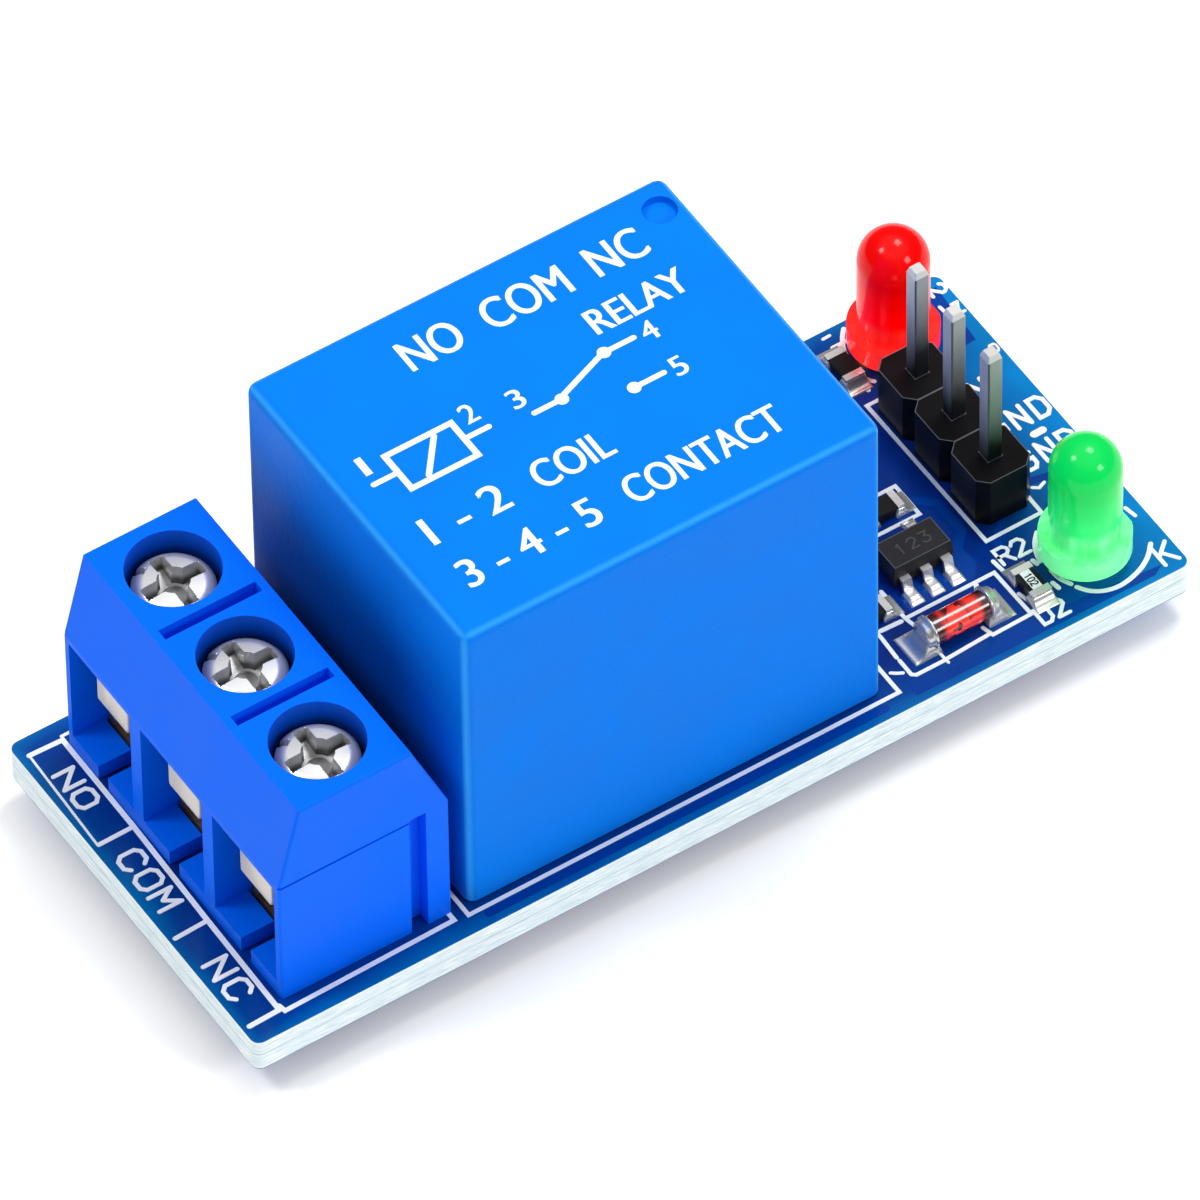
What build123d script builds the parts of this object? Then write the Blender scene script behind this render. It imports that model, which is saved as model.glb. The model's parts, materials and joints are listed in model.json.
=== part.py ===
from build123d import *
from math import asin, cos, hypot, sin
import os

# Single relay module: a drilled circuit board with a three-way screw terminal block, a sealed
# box relay, a three-pin header, two lamps and a few surface-mount pieces.
# X runs from the terminal end to the header end, Y across the board and Z up.
# The origin is the middle of the board, at the level of the trimmed lead ends that it stands on.
# All sizes are in millimetres.

# Board
board_thickness = 1.6
board_corner_radius = 0.4
side_margin = 1.2
lead_reach = 1.4
hole_clearance = 0.1
pad_rim = 0.5
solder_height = 0.95
solder_sides = 12
solder_taper = 21

# Rows of pieces along the board, from the terminal end
terminal_inset = 2.05
terminal_gap = 0.7
chip_row = 4.58
diode_row = 4.15
bias_resistor_row = 1.65
input_resistor_row = 4.95
resistor_gap = 1.2
lamp_gap = 0.4
lamp_stagger = 0.3
header_row = 1.35
end_margin = 1.35

# Terminal block
poles = 3
pole_pitch = 5.08
terminal_depth = 7.7
terminal_height = 10.65
terminal_shift = 0.1
knee_height = 6.6
front_slope = 1.0
top_depth = 5.1
rear_chamfer_height = 6.75
terminal_edge_radius = 0.2
terminal_rim_radius = 0.12
divider = 0.74
front_wall = 0.4
window_height = 6.3
sill_height = 0.75
sill_depth = 1.5
sill_notch = 0.7
cell_height = 7.0
screw_inset = 3.49
well_radius = 1.9
slot_width = 0.53
slot_depth = 2.6
slot_end_wall = 0.36
key_width = 0.75
key_depth = 0.6
key_inset = 1.81
key_clearance = 0.1
part_line_height = 0.12
part_line_depth = 0.12
cell_key_wall = 0.2
cut_over = 1.0

# Clamp inside each pole: a cage with a threaded top, a screw and a bent wire guard
cage_side_clearance = 0.12
cage_depth = 3.8
cage_wall = 0.5
cage_floor = 0.5
cage_bottom = 0.5
cage_top_wall = 0.85
cage_corner_radius = 0.3
guard_gap = 0.2
guard_thickness = 0.35
guard_width = 2.2
guard_bend_radius = 0.5
guard_front_clearance = 0.12
guard_top_clearance = 0.15
guard_reach = 1.45
wire_height = 2.45
screw_radius = 1.45
thread_clearance = 0.05
tip_clearance = 0.05
head_radius = 1.65
head_sink = 1.1
head_side = 0.85
head_dome = 0.45
crown_radius = 0.95
screw_slot_width = 0.5
screw_slot_depth = 0.6
terminal_pin_length = 1.0
terminal_pin_width = 0.8
screw_chamfer = 0.3

# Relay case
relay_length = 19.0
relay_width = 15.3
relay_height = 16.0
relay_gap = 0.12
case_wall = 0.8
case_edge_radius = 0.5
case_corner_radius = 0.45
vent_radius = 0.7
vent_depth = 0.3
vent_inset_x = 1.1
vent_inset_y = 1.6
base_foot = 0.5
base_foot_size = 1.2
base_foot_inset = 3.2
base_thickness = 1.5
base_clearance = 0.05
pin_clearance = 0.05

# Relay magnet
yoke_thickness = 1.2
yoke_width = 8.0
yoke_room_share = 0.0605
yoke_clearance = 0.2
core_share = 0.345
core_clearance = 0.05
pole_share = 0.582
pole_height = 0.8
pole_gap = 0.05
bobbin_wall = 0.65
flange_thickness = 0.7
winding_inset = 0.5
flange_side_room = 0.25
coil_pin_radius = 0.3
coil_pin_inset = 0.6
coil_post = 1.6

# Relay contacts
contact_gap = 0.5
contact_clearance = 0.03
contact_radius = 1.0
contact_head = 0.4
fixed_head = 0.35
contact_inset = 1.65
arm_width = 2.0
arm_thickness = 0.6
arm_side_room = 0.55
arm_gap_share = 0.0632
arm_overrun = 1.2
head_room = 0.4
armature_thickness = 1.0
armature_width = 7.8
armature_overrun = 0.8
armature_nose = 1.2
spring_thickness = 0.2
spring_width = 4.4
spring_tip = 1.2
spring_tail = 1.0
rivet_radius = 0.5
curl_clearance = 0.2
common_strip = 0.4
common_strip_width = 5.0
common_drop = 1.6
relay_pin_width = 1.0
relay_pin_shift = 0.5

# Header
header_pitch = 2.54
header_pins = 3
header_height = 2.5
header_chamfer = 0.42
header_shift = 0.65
header_pin = 0.64
header_pin_top = 8.6
pin_tip_length = 0.4
pin_tip_inset = 0.16

# Lamps
lamp_radius = 1.45
lamp_flange_radius = 1.85
lamp_flange_height = 0.95
lamp_flat = 1.72
lamp_height = 6.1
lamp_foot = 0.6
lamp_lead = 0.45
lamp_lead_pitch = 2.54
lamp_foot_width = 0.85
cup_start = 0.5
cup_rise = 0.6
cup_height = 0.9
cup_gap = 0.1
cup_reach = 1.0
post_inner = 0.45
lamp_clearance = 0.1
red_lamp_margin = 0.35
green_lamp_margin = 0.75

# Surface-mount pieces
diode_edge = 2.4
diode_pads = 3.9
diode_length = 3.4
diode_radius = 0.72
diode_cap = 0.48
diode_shift = 0.15
glass_inset = 0.12
chip_from_diode = 3.58
chip_length = 2.75
chip_width = 1.6
chip_thickness = 1.1
chip_foot = 0.12
chip_taper = 7
chip_lead_pitch = 0.95
chip_lead_width = 0.42
chip_lead_thickness = 0.15
chip_lead_reach = 0.8
chip_knee = 0.25
chip_sole = 0.4
chip_lead_lean = 0.1
resistor_length = 1.6
resistor_width = 0.8
resistor_height = 0.45
resistor_end = 0.3
resistor_plating = 0.04
bias_from_diode = 2.2
input_from_chip = 2.72
lamp_resistor_gap = 0.45

# Levels and places that follow from the sizes above
board_bottom = lead_reach
board_top = board_bottom + board_thickness
terminal_length = poles * pole_pitch
header_length = header_pins * header_pitch
lamp_margins = red_lamp_margin + green_lamp_margin
lamp_row = header_length + 4 * lamp_flange_radius + 2 * (lamp_clearance + header_shift)
wide_pieces = max(relay_width, terminal_length)
board_width = max(wide_pieces + 2 * side_margin, lamp_row + lamp_margins)
relay_to_diode_end = diode_row + diode_pads / 2
resistor_column = relay_to_diode_end + resistor_gap + resistor_width / 2
green_lamp_column = resistor_column + resistor_width / 2 + lamp_gap + lamp_flange_radius
parts_zone = green_lamp_column + lamp_flange_radius + end_margin
board_length = terminal_inset + terminal_depth + terminal_gap + relay_length + parts_zone

terminal_front = terminal_inset - board_length / 2
terminal_back = terminal_front + terminal_depth
relay_left = terminal_back + terminal_gap
relay_right = relay_left + relay_length
relay_x = (relay_left + relay_right) / 2
relay_y = 0.0
terminal_y = terminal_shift
pole_ys = [terminal_y + pole_pitch * ((poles - 1) / 2 - i) for i in range(poles)]
screw_x = terminal_front + screw_inset

green_lamp_x = relay_right + green_lamp_column
red_lamp_x = green_lamp_x - lamp_stagger
header_x = green_lamp_x - header_row
red_lamp_y = board_width / 2 - red_lamp_margin - lamp_flange_radius
green_lamp_y = lamp_flange_radius + green_lamp_margin - board_width / 2
header_y = (red_lamp_y + green_lamp_y) / 2 + header_shift
header_ys = [header_y + header_pitch * ((header_pins - 1) / 2 - i) for i in range(header_pins)]

diode_x = relay_right + diode_row
diode_y = diode_edge - board_width / 2
chip_x = relay_right + chip_row
chip_y = diode_y + chip_from_diode

# Relay levels: the contacts hang from the roof of the case and the winding takes what is left
case_bottom = board_top + relay_gap
case_top = board_top + relay_height
base_bottom = board_top + base_foot
base_top = base_bottom + base_thickness
case_inner_half = relay_width / 2 - case_wall
yoke_back = relay_right - case_wall - yoke_room_share * relay_length
yoke_front = yoke_back - yoke_thickness
hinge_x = (yoke_back + yoke_front) / 2
contact_x = relay_left + case_wall + contact_inset
contact_reach = hinge_x - contact_x
open_angle = asin(contact_gap / contact_reach)
moving_top = armature_thickness + spring_thickness + contact_head
moving_bottom = armature_thickness - contact_head
open_lift = (contact_reach + contact_radius) * sin(open_angle) + moving_top * cos(open_angle)
closed_arm_top = case_top - case_wall - head_room
closed_arm_bottom = closed_arm_top - arm_thickness
hinge_z = closed_arm_bottom - fixed_head - contact_clearance - open_lift
open_arm_top = hinge_z + moving_bottom - contact_clearance - fixed_head
open_arm_bottom = open_arm_top - arm_thickness
yoke_top = hinge_z - pole_gap
pole_top = hinge_z - pole_gap
pole_bottom = pole_top - pole_height
arm_flange_gap = arm_gap_share * relay_length
flange_radius = (yoke_front - yoke_clearance - contact_x - arm_width / 2 - arm_flange_gap) / 2
coil_x = yoke_front - yoke_clearance - flange_radius
leg_top = base_top + yoke_thickness
winding_bottom = leg_top + flange_thickness
winding_top = pole_bottom - flange_thickness
winding_radius = flange_radius - winding_inset
core_radius = core_share * flange_radius
pole_radius = pole_share * flange_radius
barrel_radius = core_radius + core_clearance + bobbin_wall
coil_pin_x = coil_x + flange_radius - coil_pin_inset
pin_row_y = case_inner_half - arm_side_room - arm_thickness / 2
contact_pin_x = contact_x + relay_pin_shift
common_pin_x = yoke_back + common_strip / 2

# Where leads pass through the board: points and the radius round each lead's section
lamp_leads = [
    (lamp_x + side * lamp_lead_pitch / 2, lamp_y)
    for lamp_x, lamp_y in ((red_lamp_x, red_lamp_y), (green_lamp_x, green_lamp_y))
    for side in (-1, 1)
]
header_points = [(header_x, y) for y in header_ys]
terminal_points = [(screw_x, y) for y in pole_ys]
contact_pins = [(contact_pin_x, relay_y + side * pin_row_y) for side in (-1, 1)]
coil_pins = [(coil_pin_x, relay_y + side * pin_row_y) for side in (-1, 1)]
common_pin = [(common_pin_x, relay_y)]

# Each row: points, section along X, section along Y, whether round
leads = [
    (terminal_points, terminal_pin_length, terminal_pin_width, False),
    (contact_pins, relay_pin_width, arm_thickness, False),
    (common_pin, common_strip, relay_pin_width, False),
    (coil_pins, 2 * coil_pin_radius, 2 * coil_pin_radius, True),
    (header_points, header_pin, header_pin, False),
    (lamp_leads, lamp_lead, lamp_lead, False),
]


def lead_radius(size_x, size_y, is_round):
    """Radius of the circle round a lead's section."""
    return size_x / 2 if is_round else hypot(size_x, size_y) / 2


def save(piece, name):
    """Label a finished piece and write its STEP file."""
    piece.label = name
    export_step(piece, f"parts/{name}.step")


os.makedirs("parts", exist_ok=True)

# Circuit board, drilled for every lead
with BuildPart() as circuit_board:
    with BuildSketch(Plane.XY.offset(board_bottom)):
        RectangleRounded(board_length, board_width, board_corner_radius)
        for points, size_x, size_y, is_round in leads:
            with Locations(*points):
                Circle(lead_radius(size_x, size_y, is_round) + hole_clearance, mode=Mode.SUBTRACT)
    extrude(amount=board_thickness)
save(circuit_board.part, "circuit_board")


def solder_fillet(size_x, size_y, is_round):
    """One solder joint: a many-sided cone round a lead, under the board."""
    lead = lead_radius(size_x, size_y, is_round)
    with BuildPart() as joint:
        with BuildSketch(Plane.XY.offset(board_bottom)):
            RegularPolygon(lead + pad_rim, solder_sides)
        extrude(amount=-solder_height, taper=solder_taper)
        with BuildSketch(Plane.XY.offset(board_bottom)):
            if is_round:
                Circle(lead)
            else:
                Rectangle(size_x, size_y)
        extrude(amount=-solder_height, mode=Mode.SUBTRACT)
    return joint.part


with BuildPart() as solder_joints:
    for points, size_x, size_y, is_round in leads:
        fillet_shape = solder_fillet(size_x, size_y, is_round)
        with Locations(*[(x, y, 0) for x, y in points]):
            add(fillet_shape)
save(solder_joints.part, "solder_joints")

# Terminal block: housing
cell_front = terminal_front + front_wall
key_left = terminal_back - key_inset
cell_back = key_left - cell_key_wall
window_width = pole_pitch - divider
terminal_top = board_top + terminal_height
terminal_end = terminal_length / 2
top_front = terminal_front + front_slope
top_back = top_front + top_depth
slot_left = top_front + slot_end_wall
slot_length = top_depth - 2 * slot_end_wall

with BuildPart() as terminal_housing:
    with BuildSketch(Plane.XZ.offset(-terminal_y)) as side_profile:
        with BuildLine():
            Polyline(
                (terminal_front, board_top),
                (terminal_front, board_top + knee_height),
                (top_front, terminal_top),
                (top_back, terminal_top),
                (terminal_back, board_top + rear_chamfer_height),
                (terminal_back, board_top),
                close=True,
            )
        make_face()
        upper = side_profile.vertices().filter_by(lambda v: v.Z > board_top + sill_height)
        fillet(upper, radius=terminal_edge_radius)
    extrude(amount=terminal_end, both=True)
    rims = terminal_housing.faces().filter_by(Axis.Y).edges()
    fillet(rims.filter_by(lambda e: e.center().Z > board_top + sill_height), radius=terminal_rim_radius)

    # Cells: a window in the front wall, a low sill and a pocket open to the board
    for y in pole_ys:
        with BuildSketch(Plane.XZ.offset(-y)):
            with BuildLine():
                Polyline(
                    (terminal_front - cut_over, board_top + sill_height),
                    (terminal_front - cut_over, board_top + window_height),
                    (cell_front, board_top + window_height),
                    (cell_front, board_top + cell_height),
                    (cell_back, board_top + cell_height),
                    (cell_back, board_top - cut_over),
                    (terminal_front + sill_depth, board_top - cut_over),
                    (terminal_front + sill_depth, board_top + sill_height),
                    close=True,
                )
            make_face()
        extrude(amount=window_width / 2, both=True, mode=Mode.SUBTRACT)
    with BuildSketch(Plane.XY.offset(board_top)):
        with Locations(*[(terminal_front, y) for y in pole_ys]):
            Rectangle(2 * sill_depth, sill_notch)
    extrude(amount=sill_height, mode=Mode.SUBTRACT)

    # Wells for the screws and the slots between them
    with BuildSketch(Plane.XY.offset(board_top + cell_height)):
        with Locations(*terminal_points):
            Circle(well_radius)
    extrude(amount=terminal_height, mode=Mode.SUBTRACT)
    with BuildSketch(Plane.XY.offset(terminal_top - slot_depth)):
        with Locations(*[(slot_left + slot_length / 2, y - pole_pitch / 2) for y in pole_ys[:-1]]):
            Rectangle(slot_length, slot_width)
    extrude(amount=2 * slot_depth, mode=Mode.SUBTRACT)

    # Stacking key: a groove in one end wall and a tongue on the other
    groove_x = key_left + key_width / 2
    with BuildSketch(Plane.XY.offset(board_top)):
        with Locations((groove_x, terminal_y - terminal_end)):
            Rectangle(key_width, 2 * key_depth)
    extrude(amount=rear_chamfer_height, mode=Mode.SUBTRACT)
    with BuildSketch(Plane.XY.offset(board_top)):
        with Locations((groove_x, terminal_y + terminal_end)):
            Rectangle(key_width - 2 * key_clearance, 2 * (key_depth - key_clearance))
    extrude(amount=rear_chamfer_height - key_clearance)

    # Mould part line on both ends, from the knee to the key
    line_length = key_left - terminal_front
    for side in (-1, 1):
        with BuildSketch(Plane.XZ.offset(-terminal_y - side * terminal_end)):
            with Locations((terminal_front + line_length / 2, board_top + knee_height)):
                Rectangle(line_length, part_line_height)
        extrude(amount=part_line_depth, both=True, mode=Mode.SUBTRACT)
save(terminal_housing.part, "terminal_housing")

# Terminal block: cage, wire guard and screw of each pole
cage_width = window_width - 2 * cage_side_clearance
floor_top = board_top + cage_bottom + cage_floor
guard_bottom = floor_top + wire_height
guard_top = board_top + cell_height - guard_top_clearance
cage_roof = guard_bottom + guard_thickness + guard_gap
cage_top = cage_roof + cage_top_wall
guard_front = cell_front + guard_front_clearance
guard_back = screw_x + guard_reach
head_top = terminal_top - head_sink
head_bottom = head_top - head_side
screw_tip = guard_bottom + guard_thickness + tip_clearance

for pole, y in enumerate(pole_ys, start=1):
    with BuildPart() as terminal_cage:
        with BuildSketch(Plane.YZ.offset(screw_x)):
            middle = (board_top + cage_bottom + cage_top) / 2
            with Locations((y, middle)):
                RectangleRounded(cage_width, 2 * (cage_top - middle), cage_corner_radius)
            with Locations((y, (floor_top + cage_roof) / 2)):
                Rectangle(cage_width - 2 * cage_wall, cage_roof - floor_top, mode=Mode.SUBTRACT)
        extrude(amount=cage_depth / 2, both=True)
        with BuildSketch(Plane.XY.offset(cage_roof)):
            with Locations((screw_x, y)):
                Circle(screw_radius + thread_clearance)
        extrude(amount=cage_top_wall, mode=Mode.SUBTRACT)
        with BuildSketch(Plane.XY):
            with Locations((screw_x, y)):
                Rectangle(terminal_pin_length, terminal_pin_width)
        extrude(amount=board_top + cage_bottom)
    save(terminal_cage.part, f"terminal_cage_{pole}")

    with BuildPart() as wire_guard:
        with BuildSketch(Plane.XZ.offset(-y)):
            with BuildLine():
                outer = FilletPolyline(
                    (guard_front, guard_top),
                    (guard_front, guard_bottom),
                    (guard_back, guard_bottom),
                    radius=guard_bend_radius,
                )
                inner = FilletPolyline(
                    (guard_back, guard_bottom + guard_thickness),
                    (guard_front + guard_thickness, guard_bottom + guard_thickness),
                    (guard_front + guard_thickness, guard_top),
                    radius=guard_bend_radius - guard_thickness,
                )
                Line(outer @ 1, inner @ 0)
                Line(inner @ 1, outer @ 0)
            make_face()
        extrude(amount=guard_width / 2, both=True)
    save(wire_guard.part, f"wire_guard_{pole}")

    with BuildPart() as terminal_screw:
        with BuildSketch(Plane.XZ.offset(-y)):
            with BuildLine(Plane.XZ.offset(-y)):
                Polyline(
                    (screw_x, head_top + head_dome),
                    (screw_x, screw_tip),
                    (screw_x + screw_radius - screw_chamfer, screw_tip),
                    (screw_x + screw_radius, screw_tip + screw_chamfer),
                    (screw_x + screw_radius, head_bottom),
                    (screw_x + head_radius, head_bottom),
                    (screw_x + head_radius, head_top),
                    (screw_x + crown_radius, head_top + head_dome),
                    close=True,
                )
            make_face()
        revolve(axis=Axis((screw_x, y, 0), (0, 0, 1)))
        crown = head_top + head_dome
        with BuildSketch(Plane.XY.offset(crown - screw_slot_depth)):
            with Locations((screw_x, y)):
                Rectangle(screw_slot_width, 2 * head_radius)
        extrude(amount=screw_slot_depth, mode=Mode.SUBTRACT)
    save(terminal_screw.part, f"terminal_screw_{pole}")

# Relay: case, open below, with a blind vent mark on its roof
with BuildPart() as relay_case:
    with BuildSketch(Plane.XY.offset(case_bottom)):
        with Locations((relay_x, relay_y)):
            RectangleRounded(relay_length, relay_width, case_corner_radius)
    extrude(amount=case_top - case_bottom)
    fillet(relay_case.faces().sort_by(Axis.Z)[-1].edges(), radius=case_edge_radius)
    with BuildSketch(Plane.XY.offset(case_bottom)):
        with Locations((relay_x, relay_y)):
            Rectangle(relay_length - 2 * case_wall, relay_width - 2 * case_wall)
    extrude(amount=case_top - case_wall - case_bottom, mode=Mode.SUBTRACT)
    with BuildSketch(Plane.XY.offset(case_top)):
        with Locations((relay_right - vent_inset_x, relay_y + relay_width / 2 - vent_inset_y)):
            Circle(vent_radius)
    extrude(amount=-vent_depth, mode=Mode.SUBTRACT)
save(relay_case.part, "relay_case")

# Relay: base plate on four feet, with a slot for each pin
relay_pins = [
    (contact_pins, relay_pin_width, arm_thickness, False),
    (common_pin, common_strip, relay_pin_width, False),
    (coil_pins, 2 * coil_pin_radius, 2 * coil_pin_radius, True),
]
base_length = relay_length - 2 * case_wall - 2 * base_clearance
base_width = relay_width - 2 * case_wall - 2 * base_clearance
foot_span_x = base_length - 2 * base_foot_inset
foot_span_y = base_width / 2

with BuildPart() as relay_base:
    with BuildSketch(Plane.XY.offset(base_bottom)):
        with Locations((relay_x, relay_y)):
            Rectangle(base_length, base_width)
    extrude(amount=base_thickness)
    with BuildSketch(Plane.XY.offset(board_top)):
        with Locations((relay_x, relay_y)):
            with GridLocations(foot_span_x, foot_span_y, 2, 2):
                Rectangle(base_foot_size, base_foot_size)
    extrude(amount=base_foot)
    with BuildSketch(Plane.XY.offset(base_bottom)):
        for points, size_x, size_y, is_round in relay_pins:
            with Locations(*points):
                if is_round:
                    Circle(size_x / 2 + pin_clearance)
                else:
                    Rectangle(size_x + 2 * pin_clearance, size_y + 2 * pin_clearance)
    extrude(amount=base_thickness, mode=Mode.SUBTRACT)
save(relay_base.part, "relay_base")

# Relay magnet: an L-shaped yoke, the core riveted into its foot, the bobbin and the winding
with BuildPart() as relay_yoke:
    with BuildSketch(Plane.XZ.offset(-relay_y)):
        with BuildLine():
            Polyline(
                (coil_x - flange_radius, base_top),
                (yoke_back, base_top),
                (yoke_back, yoke_top),
                (yoke_front, yoke_top),
                (yoke_front, leg_top),
                (coil_x - flange_radius, leg_top),
                close=True,
            )
        make_face()
    extrude(amount=yoke_width / 2, both=True)
    with BuildSketch(Plane.XY.offset(base_top)):
        with Locations((coil_x, relay_y)):
            Circle(core_radius)
    extrude(amount=yoke_thickness, mode=Mode.SUBTRACT)
save(relay_yoke.part, "relay_yoke")

with BuildPart() as relay_core:
    with BuildSketch(Plane.XY.offset(base_top)):
        with Locations((coil_x, relay_y)):
            Circle(core_radius)
    extrude(amount=pole_bottom - base_top)
    with BuildSketch(Plane.XY.offset(pole_bottom)):
        with Locations((coil_x, relay_y)):
            Circle(pole_radius)
    extrude(amount=pole_height)
save(relay_core.part, "relay_core")

lower_flange_width = 2 * (case_inner_half - flange_side_room)

with BuildPart() as relay_bobbin:
    with BuildSketch(Plane.XY.offset(leg_top)):
        with Locations((coil_x, relay_y)):
            Rectangle(2 * flange_radius, lower_flange_width)
    extrude(amount=flange_thickness)
    with BuildSketch(Plane.XY.offset(winding_bottom)):
        with Locations((coil_x, relay_y)):
            Circle(barrel_radius)
    extrude(amount=winding_top - winding_bottom)
    with BuildSketch(Plane.XY.offset(winding_top)):
        with Locations((coil_x, relay_y)):
            Circle(flange_radius)
    extrude(amount=flange_thickness)
    with BuildSketch(Plane.XY.offset(leg_top)):
        with Locations((coil_x, relay_y)):
            Circle(core_radius + core_clearance)
        with Locations(*coil_pins):
            Circle(coil_pin_radius)
    extrude(amount=pole_bottom - leg_top, mode=Mode.SUBTRACT)
save(relay_bobbin.part, "relay_bobbin")

with BuildPart() as relay_coil:
    with BuildSketch(Plane.XY.offset(winding_bottom)):
        with Locations((coil_x, relay_y)):
            Circle(winding_radius)
            Circle(barrel_radius, mode=Mode.SUBTRACT)
    extrude(amount=winding_top - winding_bottom)
save(relay_coil.part, "relay_coil")

with BuildPart() as relay_coil_pins:
    with BuildSketch(Plane.XY):
        with Locations(*coil_pins):
            Circle(coil_pin_radius)
    extrude(amount=winding_bottom + coil_post)
save(relay_coil_pins.part, "relay_coil_pins")

# Relay armature, at rest held open by its spring. Its plane starts at the hinge: X runs to the
# contacts, Y up through the armature, and it leans back by the angle that opens the contacts.
lean = Plane(
    origin=(hinge_x, relay_y, hinge_z),
    x_dir=(-cos(open_angle), 0, sin(open_angle)),
    z_dir=(0, 1, 0),
)
armature_end = hinge_x - coil_x + pole_radius + armature_overrun
leaf_low = armature_thickness
leaf_high = armature_thickness + spring_thickness
curl_start = -yoke_thickness / 2
inner_curl = common_strip + curl_clearance
outer_curl = inner_curl + spring_thickness
curl_level = leaf_low - inner_curl
tail_inner = curl_start - inner_curl
tail_end = -common_drop - spring_tail

with BuildPart() as relay_armature:
    with BuildSketch(lean):
        with Locations(((armature_end - yoke_thickness / 2) / 2, armature_thickness / 2)):
            Rectangle(armature_end + yoke_thickness / 2, armature_thickness)
    extrude(amount=armature_width / 2, both=True)
    upright = Axis(lean.origin, lean.y_dir)
    nose = relay_armature.edges().filter_by(upright).sort_by(Axis.X)[:2]
    chamfer(nose, length=armature_nose)
save(relay_armature.part, "relay_armature")

with BuildPart() as relay_spring:
    with BuildSketch(lean):
        with BuildLine():
            leaf_end = contact_reach + spring_tip
            Polyline(
                (curl_start, leaf_high),
                (leaf_end, leaf_high),
                (leaf_end, leaf_low),
                (curl_start, leaf_low),
            )
            RadiusArc((curl_start, leaf_low), (tail_inner, curl_level), -inner_curl)
            Polyline(
                (tail_inner, curl_level),
                (tail_inner, tail_end),
                (tail_inner - spring_thickness, tail_end),
                (tail_inner - spring_thickness, curl_level),
            )
            RadiusArc((tail_inner - spring_thickness, curl_level), (curl_start, leaf_high), outer_curl)
        make_face()
    extrude(amount=spring_width / 2, both=True)
    rivet_plane = Plane(
        origin=lean.from_local_coords((contact_reach, 0, 0)), x_dir=lean.x_dir, z_dir=lean.y_dir
    )
    with BuildSketch(rivet_plane.offset(leaf_low)):
        Circle(rivet_radius)
    extrude(amount=spring_thickness, mode=Mode.SUBTRACT)
save(relay_spring.part, "relay_spring")

with BuildPart() as relay_moving_contact:
    with BuildSketch(rivet_plane.offset(moving_bottom)):
        Circle(contact_radius)
    extrude(amount=contact_head)
    with BuildSketch(rivet_plane.offset(leaf_low)):
        Circle(rivet_radius)
    extrude(amount=spring_thickness)
    with BuildSketch(rivet_plane.offset(leaf_high)):
        Circle(contact_radius)
    extrude(amount=contact_head)
save(relay_moving_contact.part, "relay_moving_contact")


def fixed_contact(side, arm_bottom, faces_up):
    """A pin, its blade up the side of the case and an arm over to the moving contact."""
    pin_y = relay_y + side * pin_row_y
    arm_end = relay_y - side * arm_overrun
    arm_middle = (pin_y + side * arm_thickness / 2 + arm_end) / 2
    arm_length = abs(pin_y + side * arm_thickness / 2 - arm_end)
    with BuildPart() as contact:
        with BuildSketch(Plane.XY):
            with Locations((contact_pin_x, pin_y)):
                Rectangle(relay_pin_width, arm_thickness)
        extrude(amount=base_top)
        with BuildSketch(Plane.XY.offset(base_top)):
            with Locations((contact_x, pin_y)):
                Rectangle(arm_width, arm_thickness)
        extrude(amount=arm_bottom - base_top)
        with BuildSketch(Plane.XY.offset(arm_bottom)):
            with Locations((contact_x, arm_middle)):
                Rectangle(arm_width, arm_length)
        extrude(amount=arm_thickness)
        face_level = arm_bottom + arm_thickness if faces_up else arm_bottom
        with BuildSketch(Plane.XY.offset(face_level)):
            with Locations((contact_x, relay_y)):
                Circle(contact_radius)
        extrude(amount=fixed_head if faces_up else -fixed_head)
    return contact.part


save(fixed_contact(-1, open_arm_bottom, True), "relay_open_contact")
save(fixed_contact(1, closed_arm_bottom, False), "relay_closed_contact")

# Relay common terminal: a strip riveted flat on the back of the yoke, drawn down into a pin
with BuildPart() as relay_common:
    with BuildSketch(Plane.XY):
        with Locations(*common_pin):
            Rectangle(common_strip, relay_pin_width)
    extrude(amount=base_top)
    with BuildSketch(Plane.XY.offset(base_top)):
        with Locations(*common_pin):
            Rectangle(common_strip, common_strip_width)
    extrude(amount=hinge_z - common_drop - base_top)
save(relay_common.part, "relay_common")

# Pin header
with BuildPart() as header_housing:
    with BuildSketch(Plane.XY.offset(board_top)):
        for y in header_ys:
            with BuildSketch(mode=Mode.PRIVATE) as cell:
                Rectangle(header_pitch, header_pitch)
                chamfer(cell.vertices(), length=header_chamfer)
            with Locations((header_x, y)):
                add(cell.sketch)
        with Locations(*header_points):
            Rectangle(header_pin, header_pin, mode=Mode.SUBTRACT)
    extrude(amount=header_height)
save(header_housing.part, "header_housing")

for number, y in enumerate(header_ys, start=1):
    with BuildPart() as header_pin_piece:
        with BuildSketch(Plane.XY):
            with Locations((header_x, y)):
                Rectangle(header_pin, header_pin)
        extrude(amount=board_top + header_pin_top)
        tip = header_pin_piece.faces().sort_by(Axis.Z)[-1].edges()
        chamfer(tip, length=pin_tip_length, length2=pin_tip_inset)
    save(header_pin_piece.part, f"header_pin_{number}")

# Lamps: a domed lens with a flat on its rim, moulded round two shaped leads
lamp_bottom = board_top + lamp_foot
rim_top = lamp_bottom + lamp_flange_height
dome_start = lamp_bottom + lamp_height - lamp_radius


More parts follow.
